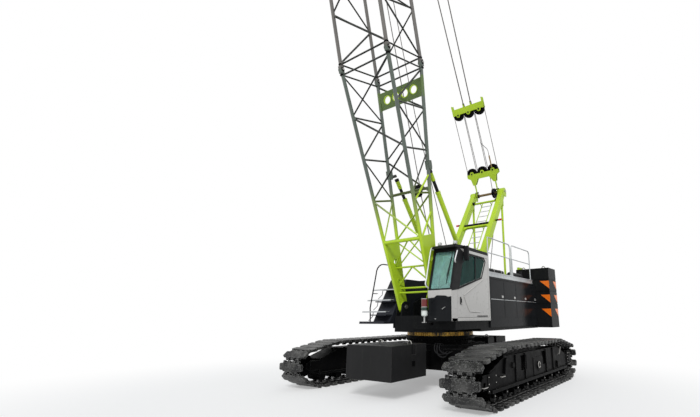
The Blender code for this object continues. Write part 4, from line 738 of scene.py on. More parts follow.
def shown_tracks():
    path = track_path()
    total = sum(math.dist(a, b) for a, b in zip(path, path[1:] + path[:1]))
    count = round(total / SHOE_PITCH)
    kinds = shoe_forms(total / count)
    for side, label, _ in SIDES:
        shoes = ([], [])
        for place, run in walk(path, count):
            turn = Matrix((
                (1, 0, 0, side * TRACK_X),
                (0, run.y, run.z, place.y),
                (0, run.z, -run.y, place.z),
                (0, 0, 0, 1),
            ))
            for forms, made in zip(kinds, shoes):
                for points, faces in (moved(form, turn) for form in forms):
                    # Pads that tip at the toes rest on the ground
                    made.append((np.maximum(points, (-np.inf, -np.inf, 0.0)), faces))
        # The black list is painted shade in the gaps between shoes and in the pads' holes.
        show(f"track_{label}_shoes", [(shoes[0], SHOE_STEEL), (shoes[1], BLACK)], "undercarriage",
             [f"track_{label}"])


def shown_track_frames():
    """Covers, bosses, handles, roller caps and hub covers on the outer side of each track frame."""
    face = FRAME_FACE
    end_y = TRACK_HALF_LENGTH - TRACK_END_RADIUS
    cover = [(-2.78, 0.36), (-2.36, 0.36), (-2.36, 0.8), (-2.78, 0.72)]
    lug = [(-1.98, 0.66), (-1.9, 0.66), (-1.8, 0.94), (-1.84, 1.0), (-1.9, 0.98), (-1.94, 0.84)]
    plate = [(-0.12, 0.42), (0.58, 0.42), (0.58, 0.86), (-0.12, 0.86)]
    plates = [slab(outline, face, face + depth, bevel=bevel)
              for outline, depth, bevel in ((cover, 0.012, 0.004), (lug, 0.05, 0.008), (plate, 0.015, 0.005))]
    boss = [(0, 0.035), (0.055, 0.035), (0.07, 0.02), (0.07, 0), (0, 0)]
    dome = [(0, 0.03), (0.11, 0.03), (0.13, 0.015), (0, 0)]
    hub = [(0, 0.1), (0.13, 0.1), (0.15, 0.07), (0.22, 0.05), (0.25, 0), (0, 0)]
    cap = [(0, 0.02), (0.045, 0.02), (0.05, 0.01), (0.05, -0.06), (0, -0.06)]
    wide_cap = [(r * 1.9, x) for r, x in cap]
    for profile, x, y, z, steps in (
        (boss, 0, -1.45, 0.8, 24),
        (dome, 0, 0.24, 0.62, 28),
        (hub, -0.04, end_y, TRACK_END_HEIGHT, 36),
        (wide_cap, 0, -end_y, TRACK_END_HEIGHT, 28),
    ):
        plates.append(spun(profile, (face + x, y, z), steps))
    for y, z, depth, half_y, half_z, bevel in (
        (1.84, 0.53, 0.05, 0.06, 0.09, 0.008),
        (-2.94, 0.52, 0.02, 0.08, 0.08, 0.005),
        *((y, 0.695, 0.03, 0.012, 0.325, 0.004) for y in (-1.3, -0.7, 0.86, 1.46)),
    ):
        plates.append(block((face, y - half_y, z - half_z), (face + depth, y + half_y, z + half_z), bevel))
    bolts = [(face + 0.012, y, z) for y in (-2.74, -2.4) for z in (0.4, 0.54, 0.68)]
    bright = bolt_heads(bolts, (1, 0, 0), 0.014, 0.01)
    bright += bolt_heads(hoop((face + 0.045, end_y, TRACK_END_HEIGHT), 0.185, 0, 330, 11), (1, 0, 0), 0.013,
                         0.012)
    bright.append(sweep(hoop((face + 0.05, 0.2, 0.66), 0.075, 0, 330, 14), 0.012, 8))
    for y, z, lean in ((-2.08, 0.62, 0.0), (2.05, 0.9, -0.1), (-2.95, 0.5, 0.0)):
        handle = [(face, y - 0.09, z + lean), (face + 0.05, y - 0.08, z + lean),
                  (face + 0.05, y + 0.08, z - lean), (face, y + 0.09, z - lean)]
        bright.append(sweep(handle, 0.011, 8))
    caps = []
    for i in range(ROLLER_COUNT):
        y = (i / (ROLLER_COUNT - 1) - 0.5) * 2 * ROLLER_REACH
        caps.append(spun(cap, (face, y, ROLLER_AXIS_Z), 18))
        bright += bolt_heads([(face + 0.02, y, ROLLER_AXIS_Z)], (1, 0, 0), 0.016, 0.012)
    for _, label, flip in SIDES:
        show(f"track_frame_{label}_fittings", [(plates, BLACK), (caps, BLACK), (bright, BARE_STEEL)],
             "undercarriage", place=flip @ Matrix.Translation((TRACK_X, 0, 0)))


def shown_carbody():
    """Bolts, seal and teeth of the slewing ring, and hoses and lifting eyes between the tracks."""
    bolts = [(x, y, 1.375) for x, y in arc((0, 0), 0.9, 0, 352.5, 47)]
    show("slewing_ring_bolts", [(bolt_heads(bolts, (0, 0, 1), 0.02, 0.02), BARE_STEEL)], "undercarriage")
    show("slewing_ring_seal", [([ring(0.97, 1.075, 1.3, 1.375, (0, 0, 0), 72, "Z")], BLACK)], "undercarriage")
    teeth = 96
    tooth = block((0.998, -0.017, 1.39), (1.03, 0.017, 1.485), 0.004, 1)
    gear = [moved(tooth, Matrix.Rotation(2 * math.pi * k / teeth, 4, "Z")) for k in range(teeth)]
    gear.insert(0, ring(0.962, 1.0, 1.385, 1.49, (0, 0, 0), teeth, "Z"))
    show("slewing_ring_teeth", [(gear, RING_GREASE)])
    hoses = []
    for x, drop in ((0.62, 0.1), (0.7, 0.16), (0.78, 0.07), (-0.66, 0.12), (-0.76, 0.08)):
        points = [(x, -1.02, 1.17), (x + 0.02, -1.22, 1.19), (x + 0.1, -1.34, 1.1 - drop),
                  (x + 0.26, -1.26, 1.02 - drop), (x + 0.36, -1.06, 1.02), (x + 0.4, -0.9, 1.05)]
        hoses.append(sweep(smooth_path(points, 24), 0.017, 8))
    show("carbody_hoses", [(hoses, RUBBER)], "undercarriage")
    eyes = [eye(x, y, 1.245, 0.06, 0.075, 0.014, 10, 8) for y in (-2.2, 2.2) for x in (0.5, -0.5)]
    plates = [lump((x, -1.46, 0.8), (0.04, 0.36, 0.22), 0.01) for x in (-0.41, 0.41)]
    plates.append(block((0.755, -2.44, 0.72), (0.765, -2.3, 0.86), 0.002))
    show("carbody_weight_eyes", [(eyes, BARE_STEEL), (plates, BLACK)], "undercarriage")


# Superstructure


def shown_houses():
    """Latches, light strips of painted highlight on each door moulding's lower lip, sunk panels on the doors,
    the strips above them, and the rear grille.
    """
    face, top = HOUSE_SIDE, HOUSE_TOP
    for _, label, flip in SIDES:
        for name in (name for name in NODES if name.startswith(f"side_door_{label}_")):
            low, high = extent(name)
            y0, y1 = low.y + 0.012, high.y - 0.012
            latch = [block((face, y1 - 0.17, 2.52), (face + 0.022, y1 - 0.05, 2.6), 0.008),
                     bar((face + 0.018, y1 - 0.11, 2.535), (face + 0.034, y1 - 0.11, 2.535), 0.016, 16,
                         0.003)]
            # A light strip of painted highlight where the door moulding's lower lip catches the light.
            lip_highlight = [block((face - 0.002, y0 + 0.01, 2.455), (face + 0.004, y1 - 0.01, 2.472), 0.002)]
            panels = []
            for z0, z1 in ((1.93, 2.41), (2.53, 3.04)):
                panel = [(y0 + 0.03, z0), (y1 - 0.03, z0), (y1 - 0.03, z1), (y0 + 0.03, z1)]
                panels.append(slab(panel, face - 0.004, face + 0.003, bevel=0.002))
            show(f"{name}_trim", [(latch, LATCH), (lip_highlight, GALVANISED), (panels, CHARCOAL)], name,
                 place=flip)
    lip = [(face - 0.03, top - 0.065), (face + 0.006, top - 0.06), (face + 0.006, top - 0.045),
           (face - 0.1, top + 0.012), (face - 0.12, top + 0.004)]
    hood = [slab(lip, y0, y1, "Y", 0.004) for y0,
            y1 in ((0.66, 1.66), (1.7, 2.68), (2.72, 3.7), (3.74, 4.68))]
    outer, inner = -face - 0.012, -face + 0.002
    grille = []
    blade_count, blade_pitch = 16, 0.063
    for k in range(blade_count):
        z = 2.0 + k * blade_pitch
        blade = [(outer - 0.002, z), (inner, z + 0.03), (inner, z + 0.022), (outer - 0.002, z - 0.008)]
        grille.append(slab(blade, 2.86, 4.54, "Y"))
    grille += [block((outer, y - 0.03, 1.95), (inner, y + 0.03, 3.02), 0.004) for y in (2.82, 3.68, 4.54)]
    grille += [block((outer, 2.8, z - 0.02), (inner, 4.56, z + 0.02), 0.004) for z in (1.95, 3.02)]
    show("house_top_trim", [(hood, CHARCOAL), (grille, CHARCOAL)])


def shown_walkway():
    """The galvanised walkway beam with its grating, and the silencer and pipes behind it."""
    x0, y0, z0 = WALKWAY_LOW
    x1, y1, _ = WALKWAY_HIGH
    z1 = WALKWAY_TOP
    beam = [
        block((x1 - 0.03, y0, z1 - 0.035), (x1, y1, z1), 0.006),
        block((x1 - 0.03, y0, z0), (x1, y1, z0 + 0.035), 0.006),
        block((x1 - 0.022, y0, z0 + 0.01), (x1 - 0.012, y1, z1 - 0.01)),
        block((x0, y0, z0), (x0 + 0.03, y1, z1), 0.004),
    ]
    bar_pitch, cross = 0.055, 0
    y = y0 + 0.02
    while y < y1 - 0.02:
        beam.append(block((x0 + 0.02, y, z1 - 0.03), (x1 - 0.02, y + 0.006, z1 - 0.003)))
        if cross % 4 == 0:
            beam.append(block((x1 - 0.016, y, z0 + 0.02), (x1 - 0.004, y + 0.03, z1 - 0.02)))
        cross += 1
        y += bar_pitch
    for k in range(5):
        x = x0 + 0.05 + k * bar_pitch
        beam.append(block((x, y0, z1 - 0.02), (x + 0.005, y1, z1 - 0.008)))
    show("left_walkway_grating", [(beam, GALVANISED)], replaces=["left_walkway"])
    base = HOUSE_TOP
    dark, steel = [], []
    for x, z in ((1.06, base + 0.14), (1.02, base + 0.3)):
        dark.append(bar((x, 1.0, z), (x, 2.62, z), 0.075, 24, 0.01))
        steel += [ring(0.07, 0.085, -0.015, 0.015, (x, y, z), 24, "Y") for y in (1.2, 1.8, 2.4)]
    for x, y, half_x, half_y, height in ((1.01, 1.815, 0.11, 0.865, 0.07), (1.03, 3.36, 0.11, 0.06, 0.14),
                                         (1.03, 4.06, 0.11, 0.06, 0.14)):
        dark.append(block((x - half_x, y - half_y, base), (x + half_x, y + half_y, base + height), 0.01))
    silencer = [(0, 0), (0.1, 0), (0.16, 0.05), (0.16, 0.95), (0.1, 1.0), (0, 1.0)]
    dark.append(spun(silencer, (1.04, 3.22, base + 0.24), 32, "Y"))
    pipe = [(1.04, y, base + z) for y, z in ((4.18, 0.24), (4.3, 0.26), (4.36, 0.36), (4.37, 0.52))]
    dark.append(sweep(smooth_path(pipe, 12), 0.05, 18))
    show("roof_silencer", [(dark, RUBBER), (steel, LATCH)])


def shown_railing():
    """Handrails in galvanised tube with their feet, and a chain gap between the middle posts."""
    x = (RAIL_LOW.x + RAIL_HIGH.x) / 2
    y0, y1, top, base = RAIL_LOW.y + 0.022, RAIL_HIGH.y - 0.022, RAIL_HIGH.z + 0.03, WALKWAY_TOP
    before, after = (y0 + y1) / 2 - 0.06, (y0 + y1) / 2 + 0.06
    tube, feet = [], []
    for start, end in ((y0, before), (after, y1)):
        left = hoop((x, start + 0.14, top - 0.14), 0.14, 180, 90, 6)
        if start == y0:
            left = [(x, start, top)]
        right = hoop((x, end - 0.14, top - 0.14), 0.14, 90, 0, 6)
        tube.append(sweep([(x, start, base)] + left + right + [(x, end, base)], 0.021, 12))
        tube.append(sweep([(x, start, MIDDLE_RAIL_Z), (x, end, MIDDLE_RAIL_Z)], 0.017, 10))
        for y in (start, end):
            feet.append(block((x - 0.05, y - 0.04, base), (x + 0.03, y + 0.04, base + 0.012), 0.003))
            feet += bolt_heads([(x - 0.035, y - 0.02, base + 0.012)], (0, 0, 1), 0.01, 0.01)
    for y in (before, after):
        feet.append(block((x - 0.03, y - 0.028, base), (x + 0.028, y + 0.028, base + 0.62), 0.006))
    show("left_railing_tubes", [(tube, GALVANISED), (feet, GALVANISED)],
         replaces=["left_railing"])


def screen_frame():
    """A frame on the windscreen: X across, local z up along the leaning glass, local y inward."""
    low = Vector((CAB_LOW.y + 0.02, WAIST_Z))
    high = Vector((CAB_LOW.y + 0.34, CAB_HIGH.z - 0.08))
    lean = math.atan2(high.x - low.x, high.y - low.y)
    return leaning((0, low.x, low.y), -lean), (high - low).length


def shown_cab():
    """The black frames, roof and visor, and the light panels round the cab's front and side."""
    x0, front, sill = CAB_LOW
    x1, rear, top = CAB_HIGH
    screen, length = screen_frame()
    glass_low, glass_high = extent("windscreen")
    g0, g1 = glass_low.x + 0.006, glass_high.x - 0.006
    outer = [(x0 - 0.004, -0.01), (x1 + 0.004, -0.01), (x1 + 0.004, length + 0.02),
             (x0 - 0.004, length + 0.02)]
    inner = [(g0, 0.05), (g1, 0.05), (g1, length - 0.07), (g0, length - 0.07)]
    black = [moved(frame_ring(outer, inner, -0.022, 0.012, "Y"), screen)]
    pillar = [(front, WAIST_Z - 0.02), (front + 0.395, WAIST_Z + 0.04), (front + 0.71, top - 0.15),
              (front + 0.44, top - 0.02), (front + 0.31, top - 0.09)]
    roof = [(front + 0.22, top - 0.05), (front + 0.24, top + 0.035), (front + 0.6, top + 0.06),
            (rear - 0.1, top + 0.045), (rear - 0.02, top - 0.01), (rear - 0.02, top - 0.06)]
    visor = [(front + 0.12, top - 0.06), (front + 0.2, top + 0.03), (front + 0.34, top + 0.05),
             (front + 0.34, top - 0.03)]
    for outline, low, high, bevel, segments in (
        (pillar, x1 - 0.015, x1 + 0.012, 0.006, 2),
        (pillar, x0 - 0.01, x0 + 0.015, 0.006, 2),
        (roof, x0 - 0.012, x1 + 0.014, 0.02, 3),
        (visor, x0 + 0.02, x1 - 0.02, 0.012, 2),
    ):
        black.append(slab(outline, low, high, bevel=bevel, segments=segments))
    show("cab_black_frames", [(black, RUBBER)])

    edge = x1 + 0.004
    band = [
        (x0 - 0.004, WAIST_Z + 0.01), (edge, WAIST_Z + 0.01), (edge, 2.455), (edge - 0.1, 2.44),
        (edge - 0.19, 2.475), (x0 + 0.29, 2.49), (x0 + 0.2, 2.43), (x0 - 0.004, 2.42),
    ]
    show("cab_front_band", [([slab(band, front - 0.014, front + 0.02, "Y", 0.005)], CAB_GREY)])
    panel = [
        (x0 + 0.005, 2.415), (x0 + 0.2, 2.425), (x0 + 0.29, 2.485), (edge - 0.19, 2.47), (edge - 0.1, 2.435),
        (edge - 0.006, 2.45), (edge - 0.006, sill), (x0 + 0.005, sill),
    ]
    crease = [(x0 + 0.06, 2.3), (x0 + 0.17, 2.33), (x0 + 0.26, 2.4), (edge - 0.22, 2.385),
              (edge - 0.12, 2.33), (edge - 0.05, 2.33)]
    dark = [slab(panel, front - 0.008, front + 0.02, "Y", 0.004),
            sweep([(x, front - 0.009, z) for x, z in crease], 0.007, 6)]
    handle = [(1.22, front - 0.008, 2.12), (1.22, front - 0.04, 2.125), (1.31, front - 0.04, 2.17),
              (1.31, front - 0.008, 2.175)]
    bolts = [(0.98, front - 0.01, 1.87), (1.0, front - 0.01, 1.87)]
    trim = [sweep(handle, 0.009, 8), *bolt_heads(bolts, (0, -1, 0), 0.012, 0.012)]
    show("cab_front_panel", [(dark, CHARCOAL), (trim, LATCH)])
    skirt = [(front + 0.01, sill), (rear, sill), (rear, sill + 0.075), (front + 0.01, sill + 0.075)]
    rear_post = [(rear - 0.085, sill + 0.07), (rear, sill + 0.07), (rear, top - 0.17),
                 (rear - 0.085, top - 0.15)]
    corner = [(front - 0.002, sill), (front + 0.295, sill), (front + 0.295, WAIST_Z - 0.01),
              (front - 0.002, WAIST_Z - 0.01)]
    top_rail = [(front + 0.72, top - 0.145), (rear, top - 0.16), (rear, top - 0.055),
                (front + 0.62, top - 0.045)]
    shell = [slab(outline, x1 - 0.01, x1 + 0.008, bevel=0.004)
             for outline in (skirt, rear_post, corner, top_rail)]
    show("cab_side_panels", [(shell, CAB_GREY)])


def shown_cab_door():
    """The door's pressed creases, black window surround, divider and handle."""
    x1, front, top = CAB_HIGH.x, CAB_LOW.y, CAB_HIGH.z
    glass = [(front + 0.39, WAIST_Z + 0.1), (0.02, 3.08), (0.3, 3.58), (0.22, 3.66),
             (front + 0.71, top - 0.18)]
    wide = [(front + 0.345, WAIST_Z + 0.025), (0.055, 3.045), (0.35, 3.585), (0.25, 3.715),
            (front + 0.69, top - 0.125)]
    divider = [(-0.36, 2.96), (-0.32, 2.97), (-0.29, 3.7), (-0.33, 3.71)]
    surround = [frame_ring(wide, glass, x1 - 0.012, x1 + 0.01, "X", 0.004),
                slab(divider, x1 - 0.028, x1 + 0.006, bevel=0.004),
                block((x1, -0.3, 1.925), (x1 + 0.01, 0.36, 1.955), 0.004)]
    creases = []
    for path, radius in (
        ([(-1.05, 2.5), (0.05, 2.985), (0.16, 3.05)], 0.016),
        ([(-1.05, 2.47), (-0.78, 2.1), (-0.7, 2.065), (-0.12, 2.05)], 0.014),
    ):
        creases.append(sweep(smooth_path([(x1 + 0.002, y, z) for y, z in path], 24), radius, 10))
    handle = [block((x1, -1.26, 2.25), (x1 + 0.02, -1.18, 2.45), 0.015),
              block((x1 + 0.02, -1.235, 2.29), (x1 + 0.036, -1.205, 2.41), 0.008)]
    show("cab_door_trim", [(surround, RUBBER), (creases, CAB_GREY), (handle, RUBBER)], "cab_door")


def shown_cab_fittings():
    """Work lamps, mirror, wiper and grab rails."""
    x0, front, _ = CAB_LOW
    x1, _, top = CAB_HIGH
    body, lens = [], []
    for x in (x0 + 0.1, x1 - 0.13):
        y, z = front + 0.44, top + 0.1
        body.append(block((x - 0.055, y - 0.02, z - 0.025), (x + 0.055, y + 0.06, z + 0.075), 0.015))
        body.append(bar((x, y + 0.03, z - 0.06), (x, y + 0.03, z - 0.02), 0.012, 10))
        lens.append(spun([(0, -0.038), (0.03, -0.036), (0.046, -0.028), (0.046, -0.015), (0, -0.015)],
                         (x, y, z + 0.025), 24, "Y"))
    show("cab_work_lamps", [(body, LATCH), (lens, LAMP_GLASS)])

    upper = smooth_path([(x1 - 0.02, -1.1, 3.84), (x1 + 0.05, -1.04, 3.9), (x1 + 0.07, -0.92, 3.86)], 10)
    lower = smooth_path([(x1, -1.22, 3.36), (x1 + 0.06, -1.1, 3.44), (x1 + 0.07, -0.92, 3.52)], 10)
    mirror = [block((x1 + 0.02, -1.04, 3.47), (x1 + 0.17, -0.96, 3.9), 0.025, 3), sweep(upper, 0.012, 8),
              sweep(lower, 0.01, 8)]
    face = [block((x1 + 0.04, -0.965, 3.5), (x1 + 0.15, -0.957, 3.87), 0.002)]
    show("cab_mirror", [(mirror, RUBBER), (face, LAMP_GLASS)])

    screen, length = screen_frame()
    arm = [(x1 - 0.1, -0.03, length - 0.06), (x1 - 0.14, -0.045, length * 0.62),
           (x1 - 0.2, -0.04, length * 0.3)]
    blade = line((x1 - 0.115, -0.03, length * 0.78), (x1 - 0.185, -0.03, length * 0.16), 2)
    wiper = [sweep(arm, 0.009, 8), sweep(blade, 0.012, 6),
             bar((x1 - 0.1, -0.045, length - 0.06), (x1 - 0.1, 0.0, length - 0.06), 0.022, 14)]
    show("windscreen_wiper", [(wiper, RUBBER)], place=screen)

    left = [(x0 + 0.01, front + 0.24, top - 0.06), (x0, front + 0.13, top - 0.08), (x0, front - 0.06, 3.05),
            (x0, front - 0.13, 2.8), (x0 + 0.01, front - 0.02, 2.7)]
    right = [(x1 - 0.01, front + 0.36, top - 0.14), (x1 + 0.035, front + 0.28, top - 0.17),
             (x1 + 0.035, front + 0.16, 3.44), (x1, front + 0.24, 3.38)]
    rails = [sweep(smooth_path(left, 24), 0.019, 12), sweep(smooth_path(right, 20), 0.017, 12)]
    show("cab_grab_rails", [(rails, WHITE_RAIL)])


def shown_stack_light():
    """Red, green and white lenses at the cab's front corner, on a bracket."""
    front = CAB_LOW.y
    x, y, r = CAB_LOW.x + 0.03, front - 0.22, 0.085
    spot = (x, y, 0)
    red, green = drum(r, 2.185, 2.39, spot, 32, "Z"), drum(r, 2.085, 2.175, spot, 32, "Z")
    white = spun([(0, 1.94), (r * 0.8, 1.94), (r, 1.96), (r, 2.075), (0, 2.075)], spot, 32, "Z")
    rings = [drum(r + 0.004, z - 0.008, z + 0.008, spot, 32, "Z") for z in (2.18, 2.08, 2.395)]
    rings.append(bar((x, y, 1.78), (x, y, 1.95), 0.022, 14))
    rings.append(lump((x, y, 1.78), (0.05, 0.05, 0.01), 0.004))
    arm = [block((x - 0.03, y, 1.758), (x + 0.03, front + 0.1, 1.775), 0.003),
           block((x + 0.02, front - 0.03, 1.7), (x + 0.06, front + 0.12, 1.775), 0.003)]
    show("stack_light",
         [([red], RED_LENS), ([green], GREEN_LENS), ([white], WHITE_LENS), (rings, LATCH), (arm, BLACK)])


def shown_cabin():
    """What shows through the glass: seat covers, console, levers and a monitor."""
    middle = (CAB_LOW.x + CAB_HIGH.x) / 2
    cushions = [lump((middle, -0.39, 2.29), (0.24, 0.29, 0.09), 0.055, 4),
                lump((middle, -0.095, 2.57), (0.23, 0.075, 0.29), 0.055, 4),
                lump((middle, -0.1, 2.96), (0.14, 0.055, 0.09), 0.04, 4)]
    base = [lump((middle, -0.35, 2.035), (0.16, 0.2, 0.165), 0.02),
            lump((middle, -1.435, 2.195), (0.28, 0.085, 0.325), 0.03, 3),
            lump((middle + 0.22, -1.395, 2.66), (0.08, 0.025, 0.14), 0.012)]
    for x in (middle - 0.285, middle + 0.285):
        base.append(lump((x, -0.26, 2.495), (0.035, 0.26, 0.055), 0.02, 3))
        base.append(sweep([(x, -0.46, 2.54), (x, -0.48, 2.64), (x + 0.01, -0.49, 2.7)], 0.012, 8))
        base.append(spun([(0, 2.69), (0.024, 2.7), (0.026, 2.75), (0, 2.77)], (x + 0.01, -0.49, 0), 16, "Z"))
    monitor = [block((middle + 0.15, -1.365, 2.54), (middle + 0.29, -1.362, 2.78), 0.001)]
    show("seat_and_controls", [(cushions, SEAT_CLOTH), (base, CABIN_TRIM), (monitor, SIDE_GLASS)],
         replaces=["operator_seat"])


def shown_counterweight():
    """Orange corner marks and lifting eyes on the slabs."""
    x1, y1, top = WEIGHT_HIGH
    y0 = WEIGHT_LOW.y
    wide, tall = 0.375, 0.31
    marks = []
    for z in (3.3, 2.76, 2.22):
        for inner, edge, low, high, facing in (
            (x1 - wide, x1 - 0.005, y0 - 0.0025, y0 + 0.002, "Y"),
            (y1 - 0.24 - wide, y1 - 0.24, x1 - 0.002, x1 + 0.0025, "X"),
        ):
            marks.append(slab([(inner, z), (edge, z), (edge, z - tall)], low, high, facing))
    show("counterweight_marks", [(both_sides(marks), ORANGE)])
    eyes = []
    for x in (0.9, 1.75):
        for y in (5.05, 5.62):
            eyes.append(eye(x, y, top, 0.07, 0.09, 0.018, 12, 10))
            eyes.append(block((x - 0.1, y - 0.04, top), (x + 0.1, y + 0.04, top + 0.015), 0.004))
    lime = [block((0.7, y0 + 0.02, top), (0.8, y0 + 0.34, top + 0.1), 0.01)]
    show("counterweight_eyes", [(both_sides(eyes), BARE_STEEL), (both_sides(lime), LIME)])


def shown_steps():
    """Open treads, the bent marker bars on the risers and the plate's rim."""
    low, high = extent("access_steps")
    outer, inner = low.x + 0.02, high.x - 0.02
    cleats = 22
    treads, rails = [], []
    for y, z in ((-1.66, 2.09), (-1.45, 2.44), (-1.24, 2.77)):
        treads.append(block((outer, y - 0.012, z - 0.028), (inner, y + 0.014, z + 0.004), 0.004))
        for k in range(cleats):
            x = outer + 0.012 + k * (inner - outer - 0.024) / (cleats - 1)
            treads.append(block((x - 0.006, y - 0.016, z), (x + 0.006, y + 0.09, z + 0.009), 0.002))
        for k in range(4):
            treads.append(block((outer, y + 0.02 + k * 0.045, z), (inner, y + 0.028 + k * 0.045, z + 0.006)))
    x = outer + 0.12
    for y, z in ((-1.5, 1.8), (-1.3, 2.12), (-1.09, 2.47)):
        rails.append(sweep([(x, y, z + 0.02), (x + 0.16, y, z + 0.14), (x + 0.2, y - 0.01, z + 0.3)], 0.01,
                           8))
    rim = [block((low.x + 0.005, -1.765, 1.735), (high.x, -1.755, 1.8), 0.003)]
    show("step_treads", [(treads, GALVANISED), (rails, BLACK), (rim, STEP_PAINT)])


def shown_winches():
    """Rope wound on the drums, bolts on their flanges, and gearbox covers."""
    rope = 0.016
    turns = int((2 * DRUM_HALF - 0.02) / (2 * rope))
    covers = []
    for node, (body, y, core, flange) in WINCHES.items():
        ropes, bolts = [], []
        for layer in range(2):
            for k in range(turns - layer):
                x = -DRUM_HALF + 0.01 + rope * (1 + layer) + k * 2 * rope
                circle = hoop((x, y, WINCH_Z), core + rope + layer * rope * 1.7, 0, 351, 39)
                ropes.append(sweep(circle, rope, 6, closed=True))
        for side in (-1, 1):
            places = hoop((side * 0.432, y, WINCH_Z), flange - 0.07, 0, 324, 9)
            bolts += bolt_heads(places, (side, 0, 0), 0.016, 0.012)
        show(f"{node}_rope", [(ropes, WIRE), (bolts, BARE_STEEL)], body)
        cover = [(0, 0.6), (0.1, 0.6), (0.15, 0.575), (0.17, 0.53), (0, 0.53)]
        covers.append(spun(cover, (0, y, WINCH_Z), 30))
    show("winch_drive_covers", [(both_sides(covers), CHARCOAL)])


# Gantry and ropes


def shown_gantry():
    """The masts' ladder, stops and pads, the struts' ends, and the axle between the masts' heads."""
    run = GANTRY_TOP - GANTRY_FOOT
    length = math.hypot(run.y, run.z)
    place = leaning(GANTRY_FOOT, -math.atan2(run.y, run.z))
    back, front = MAST_DEPTH / 2 + 0.07, -MAST_DEPTH / 2
    left_rail, right_rail = -0.25, 0.21
    ladder, rungs = [], []
    for x in (left_rail, right_rail):
        ladder.append(bar((x, back, length * 0.1), (x, back, length * 0.93), 0.019, 10))
        ladder += [bar((x, 0.0, length * share), (x, back, length * share), 0.014, 8)
                   for share in (0.36, 0.62, 0.9)]
    z = length * 0.13
    while z < length * 0.92:
        rungs.append(bar((left_rail, back, z), (right_rail, back, z), 0.013, 8))
        z += RUNG_PITCH
    z = length * 0.62
    gusset = [(-0.56, z - 0.16), (-0.42, z - 0.06), (0.42, z - 0.06), (0.56, z - 0.16), (0.56, z + 0.04),
              (-0.56, z + 0.04)]
    ladder.append(slab(gusset, -0.055, 0.045, "Y", 0.008))
    tube = pin((0, -0.055, z + 0.055), 0.55, 0.048, 20, 0.01)
    outer, inner, z = GANTRY_X + MAST_WIDTH / 2, GANTRY_X - MAST_WIDTH / 2, length * 0.66
    dark = [bar((outer, 0, z), (outer + 0.13, 0, z), 0.034, 16, 0.004),
            bar((inner, -0.03, length * 0.9), (inner - 0.09, -0.03, length * 0.9), 0.065, 18, 0.006)]
    red = [bar((outer + 0.13, 0, z), (outer + 0.25, 0, z), 0.038, 16, 0.008)]
    pads = [block((GANTRY_X - 0.09, front - 0.012, length * 0.02), (GANTRY_X + 0.09, front, length * 0.1),
                  0.004)]
    pads += [block((GANTRY_X - 0.03, front - 0.006, z - 0.05), (GANTRY_X + 0.03, front, z + 0.05), 0.002)
             for z in (length * 0.25, length * 0.48, length * 0.72)]
    groups = [(ladder, LIME), (rungs, GALVANISED), (both_sides(dark) + [tube], RUBBER),
              (both_sides(red), RED), (both_sides(pads), LIME)]
    show("gantry_ladder_and_stops", groups, place=place)

    strut_low, strut_high = extent("gantry_struts")
    y = strut_low.y + 0.08
    under = place @ Vector((0, MAST_DEPTH / 2, 0))
    z = under.z + (y - under.y) * run.z / run.y
    fork = [(y - 0.07, z - 0.3), (y + 0.05, z - 0.3), (y + 0.05, z), (y - 0.07, z - 0.1)]
    ends = [bar((GANTRY_X, y, strut_high.z - 0.06), (GANTRY_X, y, z), 0.0455, 20),
            slab(fork, GANTRY_X + 0.05, GANTRY_X + 0.062, bevel=0.003)]
    show("gantry_strut_ends", [(both_sides(ends), LIME)])

    _, y, z = GANTRY_TOP
    collars = both_sides([spun([(0.052, 0.42), (0.085, 0.42), (0.085, 0.5), (0.052, 0.5)], (0, y, z), 24)])
    sheave = sheave_form(0.21, 0.17, 0.036, (0.3, y, z))
    show("gantry_axle_fittings", [([pin(GANTRY_TOP, GANTRY_X - 0.12, 0.0515, 28)], BRONZE), (collars, RUBBER),
                                  ([sheave], BLACK)])
    cheek = [(y - 0.15, z - 0.22), (y + 0.13, z - 0.22), *arc((y, z), 0.15, -10, 170, 12)]
    heads = [slab(cheek, GANTRY_X - 0.112, GANTRY_X - 0.1, bevel=0.003),
             slab(cheek, GANTRY_X + 0.1, GANTRY_X + 0.12, bevel=0.004)]
    pins = [bar((GANTRY_X + 0.12, y, z), (GANTRY_X + 0.15, y, z), 0.045, 24, 0.006)]
    show("gantry_head_plates", [(both_sides(heads), LIME), (both_sides(pins), BARE_STEEL)])


def bail_shoulders(z, order, start, end):
    """Points round the three sheave pins, on the side that the angles give."""
    return [point for i in order for point in arc((i * BAIL_SPACING, z), BAIL_SHOULDER, start, end, 8)]


def bail_groups(z, outline):
    """Two cheek plates, three sheaves and their pins. The caller adds to the lists."""
    cheeks = [slab(outline, y, y + 0.03, "Y", 0.004) for y in (-0.075, 0.045)]
    places = [i * BAIL_SPACING for i in (-1, 0, 1)]
    wheels = [sheave_form(BAIL_RADIUS, BAIL_RADIUS - 0.04, 0.036, (x, 0, z), "Y") for x in places]
    pins = [bar((x, -0.1, z), (x, 0.1, z), 0.036, 18, 0.004) for x in places]
    return [(cheeks, LIME), (wheels, BLACK), (pins, RUBBER)]


